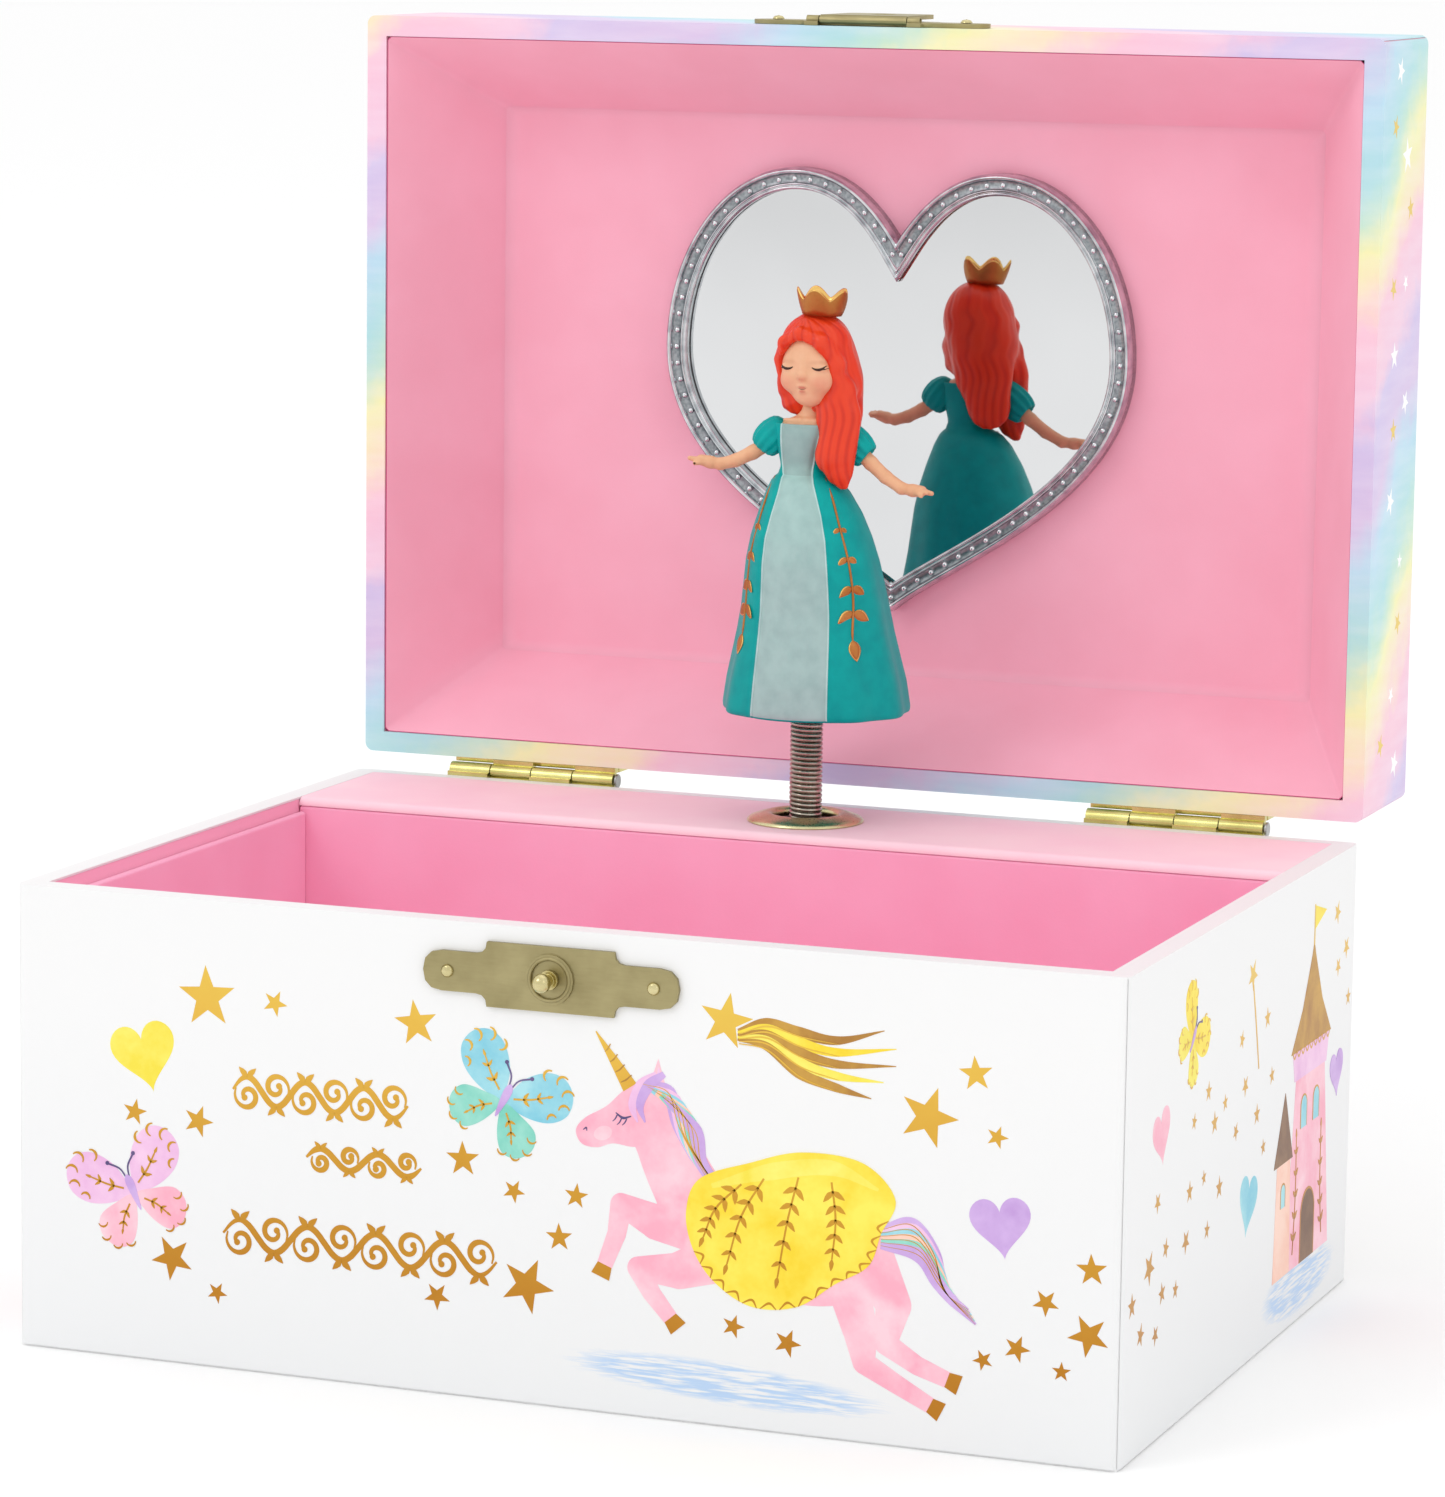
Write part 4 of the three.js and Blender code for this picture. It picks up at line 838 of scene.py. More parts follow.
def heart(inset, count=150):
    """The mirror's outline moved in by `inset`, as (x, z) from the tip up the right lobe and round."""
    half, tall = (FRAME_HIGH[0] - FRAME_LOW[0]) / 2, FRAME_HIGH[2] - FRAME_LOW[2]
    curves = [
        ((0, 0), (0.225, 0.11), (1, 0.265), (1, 0.586)),
        ((1, 0.586), (1, 0.814), (0.744, 1), (0.434, 1)),
        ((0.434, 1), (0.25, 1), (0.11, 0.938), (0, 0.842)),
    ]
    path = []
    for a, b, c, d in curves:
        for t in np.linspace(0, 1, 200, endpoint=False):
            u = 1 - t
            path.append(
                [
                    u**3 * p + 3 * u * u * t * q + 3 * u * t * t * r + t**3 * s for p, q, r,
                    s in zip(a, b, c, d)
                ]
            )
    path.append([0, 0.842])
    path = np.array(path) * [half, tall]
    along = np.gradient(path, axis=0)
    along /= np.linalg.norm(along, axis=1)[:, None]
    moved = path + inset * np.stack([-along[:, 1], along[:, 0]], 1)
    if inset > 0:
        end, way = moved[-1], along[-1]
        reach = end[0] / max(-way[0], 0.05)
        moved = np.vstack([moved, end + way * reach])
        inside = np.argmax(moved[:, 0] > 0)
        cut = moved[inside - 1] + (moved[inside] - moved[inside - 1]) * (
            -moved[inside - 1, 0] / (moved[inside, 0] - moved[inside - 1, 0]))
        moved = np.vstack([cut, moved[inside:]])
    run = np.concatenate([[0], np.cumsum(np.linalg.norm(np.diff(moved, axis=0), axis=1))])
    at = np.linspace(0, run[-1], count)
    right = np.stack([np.interp(at, run, moved[:, 0]), np.interp(at, run, moved[:, 1])], 1)
    right[0, 0] = right[-1, 0] = 0
    left = right[1:-1][::-1] * [-1, 1]
    return np.vstack([right, left]) + [0, FRAME_LOW[2]]


def mirror_frame():
    """The plated moulding: a rolled rim, an etched band and a double inner rim, swept round the heart."""
    panel_y = FRAME_HIGH[1]
    section = [(0, 0), (0, 2.4), (0.1, 2.9), (0.3, 3.25), (0.5, 3.4), (0.7, 3.3), (0.86, 3.0), (0.95, 2.7)]
    section += [
        (1.05, 2.62), (2.15, 2.62), (2.22, 2.75), (2.32, 2.95), (2.44, 2.98), (2.55, 2.8), (2.62, 2.72)
    ]
    section += [
        (2.7, 2.85), (2.84, 3.05), (3.0, 3.0), (3.14, 2.8), (3.2, 2.5), (3.2, 1.78), (3.2, 1.45),
        (2.35, 1.45), (2.35, 0)
    ]
    rows = [[(x, panel_y - high, z) for x, z in heart(inset)] for inset, high in section]
    points, faces = loop_skin(rows)
    band = {i for i, (a, b) in enumerate(zip(section, section[1:])) if a[0] >= 0.9 and b[0] <= 2.2}
    # The inner wall down to the glass takes the painted shadow.
    gap = {i for i, one in enumerate(section[:-1]) if one[0] > 3.19 and one[1] < 1.8}
    looks = [2 if i // len(rows[0]) in gap else int(i // len(rows[0]) in band) for i in range(len(faces))]
    return make_piece(
        "mirror_moulding", points, faces, [PLATED_RIM, PLATED_BAND, SHADOW_GAP], "lid", "frame_silver",
        face_looks=looks, recalc=True, stands_for=["mirror_frame"]
    )


def beads(tree, source, sockets):
    """Small studs, evenly spaced along the line they are given."""
    line = add(tree, "GeometryNodeMeshToCurve", {0: source})
    places = add(
        tree, "GeometryNodeResampleCurve", {"Curve": line.outputs[0], "Length": sockets["Spacing"]},
        mode="LENGTH"
    )
    stud_shape = add(
        tree, "GeometryNodeMeshUVSphere", {"Segments": 10, "Rings": 6, "Radius": sockets["Bead"]}
    )
    flat = add(tree, "GeometryNodeTransform", {"Geometry": stud_shape.outputs[0], "Scale": (1.0, 0.75, 1.0)})
    return add(
        tree, "GeometryNodeInstanceOnPoints", {"Points": places.outputs[0], "Instance": flat.outputs[0]}
    ).outputs[0]


mirror_frame()
settle(
    repeated("mirror_beads", beads, {"Spacing": 2.45 * MM, "Bead": 0.42 * MM}, PLATED_BEAD,
             [(x, FRAME_HIGH[1] - 2.7, z) for x, z in heart(1.6)], closed=True),
    "lid", "frame_silver",
)
refined("mirror_glass", MIRROR, "mirror", 0.2, 2)

# ---------------------------------------------------------------- the spring, the movement and the key

WIRE = 0.34  # wire radius


def coil(tree, source, sockets):
    """Wire wound in a close coil."""
    turns = add(
        tree, "GeometryNodeCurveSpiral",
        {"Resolution": 28, "Rotations": sockets["Turns"], "Height": sockets["Height"]}
    )
    tree.links.new(sockets["Radius"], turns.inputs["Start Radius"])
    tree.links.new(sockets["Radius"], turns.inputs["End Radius"])
    section = add(tree, "GeometryNodeCurvePrimitiveCircle", {"Radius": sockets["Wire"], "Resolution": 8})
    wire = add(
        tree, "GeometryNodeCurveToMesh",
        {"Curve": turns.outputs[0], "Profile Curve": section.outputs[0], "Fill Caps": True}
    )
    return add(
        tree, "GeometryNodeInstanceOnPoints", {"Points": source, "Instance": wire.outputs[0]}
    ).outputs[0]


spring_tall = SPRING_HIGH[2] - SPRING_LOW[2] - 2 * WIRE
spring_radius = (SPRING_HIGH[0] - SPRING_LOW[0]) / 2 - WIRE
spring = repeated(
    "figure_coil_spring", coil,
    {"Turns": 41.0, "Height": spring_tall * MM, "Radius": spring_radius * MM, "Wire": WIRE * MM},
    NICKEL_WIRE, [(AXIS[0], AXIS[1], SPRING_LOW[2] + WIRE)], closed=None,
)
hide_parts("figure_spring")
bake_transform(spring)

for node, look, slot, width in (
    ("spring_plug", NICKEL_WIRE, "nickel_spring", 0.1), ("figure_peg", STEEL, "steel", 0.1),
    ("movement_bedplate", MOVEMENT_BRASS, "brass", 0.15), ("music_comb", STEEL, "steel", 0.03),
    ("melody_cylinder", MOVEMENT_BRASS, "brass", 0.1), ("drive_spindle", STEEL, "steel", 0.1),
    ("spring_barrel", MOVEMENT_BRASS, "brass", 0.15), ("winding_key", STAMPED_BRASS, "brass", 0.2),
    ("governor_fly", MOVEMENT_BRASS, "brass", 0.05), ("stop_wire", STEEL, "steel", 0.05),
):
    refined(node, look, slot, width)


def pins(tree, source, sockets):
    """Tune pins, each standing straight out of the cylinder."""
    pin = add(
        tree, "GeometryNodeMeshCone",
        {
            "Vertices": 6, "Radius Top": sockets["Tip"], "Radius Bottom": sockets["Foot"],
            "Depth": sockets["Length"]
        }
    )
    turn = add(tree, "GeometryNodeInputNamedAttribute", {"Name": "bearing"}, data_type="FLOAT")
    euler = add(tree, "ShaderNodeCombineXYZ", {"Y": math.pi / 2, "Z": turn.outputs[0]})
    facing = add(tree, "FunctionNodeEulerToRotation", {0: euler.outputs[0]})
    return add(
        tree, "GeometryNodeInstanceOnPoints",
        {"Points": source, "Instance": pin.outputs[0], "Rotation": facing.outputs[0]}
    ).outputs[0]


def tune_pins():
    """Pins in the 18 rows that the comb's teeth read."""
    low, high = extent("melody_cylinder")
    body, chance = (high[0] - low[0]) / 2 - 0.4, np.random.default_rng(7)
    bearing = chance.uniform(0, 2 * math.pi, 260)
    height = low[2] + 1.5 + np.floor(chance.uniform(0, 18, 260)) / 18 * (high[2] - low[2] - 3)
    middle = (low + high) / 2
    spots = np.stack([middle[0] + body * np.cos(bearing), middle[1] + body * np.sin(bearing), height], 1)
    made = repeated(
        "tune_pins", pins, {"Tip": 0.09 * MM, "Foot": 0.12 * MM, "Length": 0.7 * MM}, STEEL, spots,
        {"bearing": bearing}, closed=None
    )
    settle(made, "cylinder", "steel")


tune_pins()

# ---------------------------------------------------------------- the princess figurine

# Gown, as height above the hem, half width, shift across X and Y, and half width of the pale panel.
GOWN_LINE = [
    (2.0, 12.75, 0.9, 1.1, 5.85), (2.35, 13.1, 0.9, 1.1, 5.85), (3.0, 13.15, 0.9, 1.1, 5.84),
    (6.6, 12.6, 0.9, 1.0, 5.7), (10.0, 11.8, 0.85, 0.9, 5.55), (13.5, 11.0, 0.8, 0.8, 5.4),
    (16.8, 10.4, 0.75, 0.7, 5.26), (20.1, 9.9, 0.6, 0.5, 5.12), (23.5, 9.35, 0.4, 0.3, 4.95),
    (26.9, 8.5, 0.2, 0.2, 4.6), (30.2, 7.3, 0.0, 0.2, 3.8), (33.2, 5.9, -0.35, 0.1, 2.85),
    (34.7, 4.8, -0.7, 0.0, 2.45), (35.5, 3.8, -1.0, 0.0, 2.35), (36.2, 3.05, -1.3, 0.0, 2.3),
    (36.9, 2.95, -1.4, 0.0, 2.45), (38.4, 3.45, -1.25, 0.0, 2.65), (39.7, 4.0, -1.1, 0.0, 2.8),
    (41.0, 4.6, -0.9, 0.0, 3.0), (42.3, 4.9, -0.75, 0.0, 3.15)
]
WAIST = 35.5


def gown_ring(height):
    """Half widths across X and Y, middle, and panel half width at a height above the hem."""
    line = np.array(GOWN_LINE)
    across, sx, sy, panel = [float(np.interp(height, line[:, 0], line[:, i])) for i in range(1, 5)]
    panel *= 0.95
    round_share = np.interp(height, [30, 36, 39.5, 42.3], [0.94, 0.88, 0.68, 0.53])
    return across, across * round_share, sx, sy, panel


def gown_point(height, angle, out=0.0):
    """A point of the gown's skin; angle 0 faces the front and grows towards +X."""
    ax, ay, sx, sy, panel = gown_ring(height)
    edge = math.asin(min(panel / ax, 0.98))
    beyond = max(abs(angle) - edge, 0) / (math.pi - edge)
    swing = max(0.0, 1 - (height - 2) / 30)
    phase = 9.5 * abs(angle) + 0.55 * height / 10 + (0.9 if angle > 0 else 0)
    fold = 0.32 * swing * math.sin(phase) * min(beyond * 7, 1)
    fold += 0.12 * swing * math.cos(5 * angle) * (beyond == 0)
    crease = -0.18 * math.exp(-(((abs(angle) - edge) * ax / 0.55) ** 2)) * min(1, height / 2)
    grow = out + fold + crease
    return np.array(
        [
            HEM[0] + sx + (ax + grow) * math.sin(angle), HEM[1] + sy - (ay + grow) * math.cos(angle),
            HEM[2] + height
        ]
    )


def gown():
    """Skirt, panel, piping and bodice in one moulding, whose columns follow the panel's edges."""
    heights = list(np.linspace(2.35, 35.1, 64)) + [35.35, WAIST, 35.7] + list(np.linspace(36.0, 42.3, 18))
    inner, piping, outer = 26, 3, 120
    rows, pipe = [], 0.2
    for height in heights:
        ax, _, _, _, panel = gown_ring(height)
        edge = math.asin(min(panel / ax, 0.97))
        wide = pipe / ax / max(math.cos(edge), 0.4)
        stops = [-edge, edge, edge + wide, 2 * math.pi - edge - wide, 2 * math.pi - edge]
        angles = []
        for start, end, count in zip(stops, stops[1:], (inner, piping, outer, piping)):
            angles += list(np.linspace(start, end, count, endpoint=False))
        angles = [a if a <= math.pi else a - 2 * math.pi for a in angles]
        row = []
        for k, angle in enumerate(angles):
            raised = 0.1 if inner < k < inner + piping or k > inner + piping + outer else 0.0
            waist = 0.16 * math.exp(-(((height - WAIST) / 0.3) ** 2))
            row.append(gown_point(height, angle, raised - waist))
        rows.append(row)
    hem = np.array(rows[0])
    middle = np.array([HEM[0] + 0.9, HEM[1] + 1.1, 0])
    bore = np.array([HEM[0], HEM[1], 0])
    turned_in = []
    around = (hem - middle)[:, :2]
    unit = around / np.linalg.norm(around, axis=1)[:, None]
    for radius, height in ((0.0, 2.9), (2.72, 2.9), (2.72, 2.2), (3.0, 2.02)):
        turned_in.append(np.column_stack([bore[:2] + unit * radius, np.full(len(hem), HEM[2] + height)]))
    for share, height in ((0.5, 2.02), (0.93, 2.02), (0.975, 2.06), (0.992, 2.18)):
        turned_in.append(np.column_stack([middle[:2] + around * share, np.full(len(hem), HEM[2] + height)]))
    top = np.array(rows[-1])
    over = []
    for share, height in ((0.985, 42.5), (0.95, 42.56), (0.9, 42.45), (0.86, 42.1), (0.84, 41.2)):
        ring = top.mean(0) + (top - top.mean(0)) * share
        ring[:, 2] = HEM[2] + height
        over.append(ring)
    all_rows = turned_in[1:] + rows + over
    points, faces = capped(all_rows)
    across = len(hem)
    looks = []
    for i in range(len(faces)):
        row, column = divmod(i, across)
        height = all_rows[row][0][2] - HEM[2] if row < len(all_rows) - 1 else -1
        if row < len(turned_in) - 1 or height < 0:
            looks.append(0)
        elif column < inner:
            looks.append(1 if height < WAIST else 2)
        # The piping columns take the pale enamel, a painted highlight along the raised seam.
        elif column < inner + piping or column >= inner + piping + outer:
            looks.append(3)
        else:
            looks.append(0)
    return make_piece("princess_gown", points, faces, [TEAL, PANEL, BODICE, PIPING_HIGHLIGHT], "figurine", "gown_paint",
                      face_looks=looks, recalc=True, stands_for=["figure_gown"])


gown()


def leaf_shape(middle, along, out, length, width, thick):
    """A pointed leaf lying on a surface: a crowned spindle with a shallow midrib."""
    along, out = np.asarray(along, float), np.asarray(out, float)
    along /= np.linalg.norm(along)
    side = np.cross(out, along)
    side /= np.linalg.norm(side)
    rows = []
    for t in np.linspace(0, 1, 9):
        half = max(width / 2 * math.sin(math.pi * t) ** 0.75 * (1.25 - 0.5 * t), 0.02)
        centre = np.asarray(middle) + along * (t * length)
        ring = []
        for angle in np.linspace(0, 2 * math.pi, 10, endpoint=False):
            rise = thick * max(math.sin(angle), -0.4) * (half / (width / 2)) ** 0.5
            ring.append(centre + side * half * math.cos(angle) + out * rise)
        rows.append(ring)
    return capped(rows)


def gown_vine():
    """Gilt vine down both sides of the skirt: a stem, leaf pairs that grow downwards, a leaf at the foot."""
    parts, edges = [], []
    for way in (1, -1):
        heights = [35.2, 32.5, 29.0, 25.0, 22.0, 19.5, 17.0, 14.5, 13.2]
        bearings = [62, 51, 50, 52, 52.5, 52, 50, 47.5, 47]
        path = []
        for height, bearing in zip(heights, bearings):
            path.append(gown_point(height, way * math.radians(bearing), 0.02))
        path = smooth_path(path, 60)
        radii = np.interp(np.linspace(0, 1, 60), [0, 0.1, 0.9, 1], [0.1, 0.17, 0.2, 0.08])
        parts.append(swept(path, radii, 8, up=(0.1, 0.2, 1)))
        for height, bearing, size in (
            (28.6, 50, 1.35), (24.6, 52, 1.75), (20.6, 52.2, 2.15), (17.2, 50.4, 2.5)
        ):
            base = gown_point(height, way * math.radians(bearing), 0.05)
            out = gown_point(height, way * math.radians(bearing), 1.0) - base
            out /= np.linalg.norm(out)
            for lean in (1, -1):
                toward = gown_point(height - 0.75, way * math.radians(bearing) + lean * 0.13, 0.05) - base
                toward -= out * (toward @ out) * 0.85
                parts.append(leaf_shape(base, toward, out, size * 1.1, size * 0.6, 0.16))
                # A slightly larger and thinner copy of each leaf shows round its rim as a painted highlight.
                edges.append(leaf_shape(base, toward, out, size * 1.16, size * 0.7, 0.07))
        foot = gown_point(13.4, way * math.radians(47), 0.05)
        out = gown_point(13.4, way * math.radians(47), 1.0) - foot
        down = gown_point(11.4, way * math.radians(48), 0.05) - foot
        out /= np.linalg.norm(out)
        parts.append(leaf_shape(foot, down, out, 2.9, 1.7, 0.24))
        edges.append(leaf_shape(foot + out * 0.02, down, out, 3.05, 1.9, 0.12))
    points, faces = joined(parts)
    make_piece("gown_vine", points, faces, GILT, "figurine", "crown_paint", recalc=True)
    # The rims round the leaves, in the painted highlight.
    points, faces = joined(edges)
    make_piece("gown_vine_highlight_rims", points, faces, GILT_HIGHLIGHT, "figurine", "crown_paint", recalc=True)


gown_vine()

HEAD = np.array([0.5, 0.0, 51.0])  # middle of the head above the hem's middle
YAW, TILT = math.radians(-6), math.radians(0.5)


def to_head(x, y, z):
    """Figure coordinates to the head's own, whose -Y faces out of the face."""
    x, y, z = x - HEAD[0], y - HEAD[1], z - HEAD[2]
    c, s = math.cos(-YAW), math.sin(-YAW)
    x, y = c * x - s * y, s * x + c * y
    c, s = math.cos(TILT), math.sin(TILT)
    return c * x + s * z, y, -s * x + c * z


def from_head(points):
    """Points in the head's own frame as figure coordinates."""
    p = np.asarray(points, float)
    c, s = math.cos(TILT), math.sin(TILT)
    x, y, z = c * p[:, 0] - s * p[:, 2], p[:, 1], s * p[:, 0] + c * p[:, 2]
    c, s = math.cos(YAW), math.sin(YAW)
    # the head turns with its nose towards -X
    return np.stack([c * x - s * y + HEAD[0], s * x + c * y + HEAD[1], z + HEAD[2]], 1)


def face_field(x, y, z):
    """A calm, plain doll's face in the head's own frame, eyes closed."""
    skull = ellipsoid(x, y, z, (0, 0.3, 0.8), (4.3, 4.4, 4.8))
    cheek = ellipsoid(x, y, z, (0, -0.75, -1.1), (4.4, 3.7, 4.4))
    shape = melt(skull, cheek, 1.2)
    shape = melt(shape, ellipsoid(x, y, z, (0, -1.9, -4.5), (1.6, 1.4, 1.15)), 1.8)
    for way in (-1, 1):
        shape = melt(shape, ellipsoid(x, y, z, (way * 2.25, -2.75, -2.3), (1.6, 1.4, 1.45)), 0.9)
        socket = ellipsoid(x, y, z, (way * 2.1, -5.0, -0.35), (1.3, 0.7, 0.75))
        shape = carve(shape, socket, 0.9)
        shape = melt(shape, ellipsoid(x, y, z, (way * 2.4, -3.4, -0.35), (1.15, 0.72, 0.72)), 0.4)
    shape = melt(shape, limb(x, y, z, (0, -3.9, 0.4), (0, -4.2, -1.3), 0.32, 0.4), 0.6)
    shape = melt(shape, ellipsoid(x, y, z, (0, -4.38, -1.6), (0.62, 0.62, 0.5)), 0.45)
    shape = melt(shape, ellipsoid(x, y, z, (0, -3.85, -3.0), (0.75, 0.5, 0.32)), 0.4)
    shape = melt(shape, ellipsoid(x, y, z, (0, -3.75, -3.68), (0.6, 0.5, 0.3)), 0.4)
    mouth = np.sqrt((y + 4.45) ** 2 + (z + 3.34 - 0.09 * x**2) ** 2) - 0.13 + np.maximum(np.abs(x) - 0.75, 0)
    return carve(shape, mouth, 0.15)


def bust_field(x, y, z):
    """Head, neck and shoulders down into the gown, in figure coordinates."""
    head = face_field(*to_head(x, y, z))
    neck = limb(x, y, z, (-0.5, 0.35, 41.5), (0.4, 0.3, 47.5), 1.35, 1.25)
    chest = ellipsoid(x, y, z, (-0.65, 0.1, 41.0), (4.7, 2.35, 2.6))
    shape = melt(melt(neck, chest, 1.6), head, 0.7)
    for way in (-1, 1):
        bone = limb(x, y, z, (-0.6 + way * 0.5, -1.5, 43.1), (-0.6 + way * 3.0, -1.0, 43.0), 0.28, 0.2)
        shape = melt(shape, bone, 0.5)
    return np.maximum(shape, 41.3 - z)


def blot(x, z, cx, cz, rx, rz, soft=1.0):
    """A soft round patch of airbrush, 1 in its middle."""
    return np.clip(1.4 * np.exp(-soft * (((x - cx) / rx) ** 2 + ((z - cz) / rz) ** 2)) - 0.2, 0, 1)


def head_piece():
    """Head and bust, with the blush, the lips and the shaded lids as attributes."""
    points, faces = modelled(bust_field, (-6.2, -6.2, 41.0), (6.2, 5.8, 57.4), 0.16)
    x, y, z = to_head(*points.T)
    made = make_piece(
        "princess_head", points + HEM, faces, FACE, "figurine", "skin_paint", stands_for=["figure_head"]
    )
    near = y < -1
    blush = (blot(x, z, -2.8, -2.3, 1.4, 1.1) + blot(x, z, 2.8, -2.3, 1.4, 1.1)) * 0.4 * near
    blush += 0.22 * blot(x, z, 0, -1.7, 0.8, 0.6) * near
    lips = blot(x, z, 0, -3.1, 0.8, 0.28, 1.6) + blot(x, z, 0, -3.66, 0.62, 0.27, 1.6)
    shade = blot(x, z, -2.4, 0.35, 1.3, 0.35) + blot(x, z, 2.4, 0.35, 1.3, 0.35)
    for key, values in (
        ("blush", blush), ("lips", np.clip(lips, 0, 0.75) * near), ("shade", 0.35 * shade * near)
    ):
        tag(made.data, key, values)


def on_face(x, z, out=0.0):
    """The face's front skin at (x, z) in the head's own frame."""
    steps = np.linspace(-6.5, 0, 1400)
    inside = face_field(np.full_like(steps, x), steps, np.full_like(steps, z)) < 0
    return (x, steps[np.argmax(inside)] - out, z)


def brushed_line(spots, widths, name, look):
    """Raised brush lines over the face, through (x, z) spots."""
    parts = []
    for line in spots:
        path = from_head([on_face(x, z, 0.01) for x, z in smooth_path(line, 18)]) + HEM
        radii = np.interp(np.linspace(0, 1, 18), np.linspace(0, 1, len(widths)), widths)
        parts.append(swept(path, radii, 8, flat=0.55, up=(0.05, 1, 0.1)))
    points, faces = joined(parts)
    make_piece(name, points, faces, look, "figurine", "hair_paint", recalc=True)


head_piece()
lids = [
    [(w * 1.45, -0.3), (w * 1.9, -0.52), (w * 2.5, -0.58), (w * 3.05, -0.4), (w * 3.45, -0.02)]
    for w in (-1, 1)
]
brushed_line(lids, [0.06, 0.14, 0.2, 0.17, 0.05], "princess_lashes", LASH)
flicks = [[(w * 2.8, -0.5), (w * 3.3, -0.5), (w * 3.6, -0.36)] for w in (-1, 1)]
brushed_line(flicks, [0.1, 0.08, 0.03], "princess_lash_flicks", LASH)
brushed_line(
    [[(-0.55, -3.24), (-0.2, -3.36), (0.2, -3.36), (0.55, -3.24)]], [0.03, 0.06, 0.06, 0.03],
    "princess_smile", UMBER_WASH
)


def strand_wave(x, y, z):
    """Depth of the grooves between locks, from 0 at a ridge to 1 in a groove, in the head's own frame."""
    bearing = np.arctan2(x + 0.7, -(y + 1.6))
    wander = 0.35 * np.sin(0.75 * z + 1.1) + 0.18 * np.sin(1.7 * z + 2.0 * bearing)
    main = 0.5 - 0.5 * np.cos(13 * bearing + wander * 2.4)
    fine = 0.5 - 0.5 * np.cos(37 * bearing + wander * 5.5 + 1.0)
    return main**2 * 0.7 + fine * 0.3


def combed(x, y, z):
    """Grooves between locks in figure coordinates, and how far the hair hangs loose, from 0 to 1."""
    loose = np.clip((47.5 - z) / 3, 0, 1)
    hanging = 0.5 - 0.5 * np.cos(5.2 * (x - 0.35 * np.sin(0.62 * z)) + 0.5 * np.sin(1.1 * z))
    return strand_wave(*to_head(x, y, z)) * (1 - loose) + hanging * loose, loose


def hair_field(x, y, z):
    """Long parted hair: a cap, a lock behind the neck and a fall over one shoulder, in figure coordinates."""
    hx, hy, hz = to_head(x, y, z)
    cap = ellipsoid(hx, hy, hz, (-0.15, 0.65, 1.15), (5.4, 5.1, 5.95))
    cap = melt(cap, ellipsoid(hx, hy, hz, (0.9, 1.9, -2.6), (5.3, 3.9, 5.4)), 1.5)
    opening = ellipsoid(hx, hy * 0, hz, (-0.35, 0, -1.75), (4.35, 1, 5.35))
    window = -melt(-opening, -(hy + 1.45 + 0.17 * hx), 0.5)
    cap = carve(cap, window, 0.35)
    parting = limb(hx, hy, hz, (-0.9, -4.4, 4.6), (-0.75, -1.2, 7.2), 0.28, 0.1)
    cap = carve(cap, parting, 0.45)
    for start, end, ra, rb in (
        ((-0.9, -3.75, 4.35), (-3.3, -3.1, 3.0), 0.6, 0.7), ((-3.3, -3.1, 3.0), (-4.75, -1.5, 0.4), 0.7, 0.6),
        ((-4.75, -1.5, 0.4), (-4.7, -0.6, -4.0), 0.6, 0.6),
        ((-0.75, -3.75, 4.4), (2.5, -3.3, 3.1), 0.65, 0.9), ((2.5, -3.3, 3.1), (4.35, -1.9, 0.0), 0.9, 1.0),
        ((4.35, -1.9, 0.0), (4.1, -1.5, -4.8), 1.0, 1.3),
    ):
        cap = melt(cap, limb(hx, hy, hz, start, end, ra, rb), 0.9)
    shape = cap
    left_lock = melt(
        limb(x, y, z, (-3.3, 1.0, 48.0), (-3.0, 0.9, 45.4), 1.9, 1.45),
        limb(x, y, z, (-3.0, 0.9, 45.4), (-2.0, 1.3, 43.9), 1.45, 0.6), 0.8
    )
    shape = melt(shape, left_lock, 1.0)
    fall = [
        ((4.5, -1.2, 47.0), (4.5, -1.3, 43.6), 2.5, 2.95),
        ((4.5, -1.3, 43.6), (4.75, -1.75, 41.0), 2.95, 2.5),
        ((4.75, -1.75, 41.0), (4.4, -2.1, 38.4), 2.5, 2.7), ((4.4, -2.1, 38.4), (5.2, -2.2, 35.8), 2.7, 1.5),
        ((5.2, -2.2, 35.8), (5.8, -2.3, 34.3), 1.5, 0.4)
    ]
    locks = None
    for a, b, ra, rb in fall:
        part = limb(
            x, (y + 1.4) * 1.75 - 1.4, z, (a[0], (a[1] + 1.4) * 1.75 - 1.4, a[2]),
            (b[0], (b[1] + 1.4) * 1.75 - 1.4, b[2]), ra, rb
        ) * 0.72
        locks = part if locks is None else melt(locks, part, 0.9)
    shape = melt(shape, locks, 1.3)
    back = melt(
        ellipsoid(x, y, z, (2.0, 2.6, 44.5), (4.6, 2.0, 5.2)),
        ellipsoid(x, y, z, (3.0, 2.9, 39.5), (3.4, 1.35, 3.6)), 1.6
    )
    shape = melt(shape, back, 1.4)
    grooves, loose = combed(x, y, z)
    return shape + (0.1 - 0.03 * loose) * grooves - 0.04


def hair_piece():
    """The hair as one moulding, with its ridges and grooves as an attribute for the painted highlight and the
    painted shade.
    """
    points, faces = modelled(hair_field, (-6.4, -6.4, 33.2), (8.4, 7.6, 59.4), 0.17)
    # 1 on the ridges and 0 in the grooves: where the painted highlight and the painted shade go.
    ridge = 1 - combed(*points.T)[0]
    made = make_piece(
        "princess_hair", points + HEM, faces, HAIR, "figurine", "hair_paint", stands_for=["figure_hair"]
    )
    tag(made.data, "groove", ridge)


hair_piece()


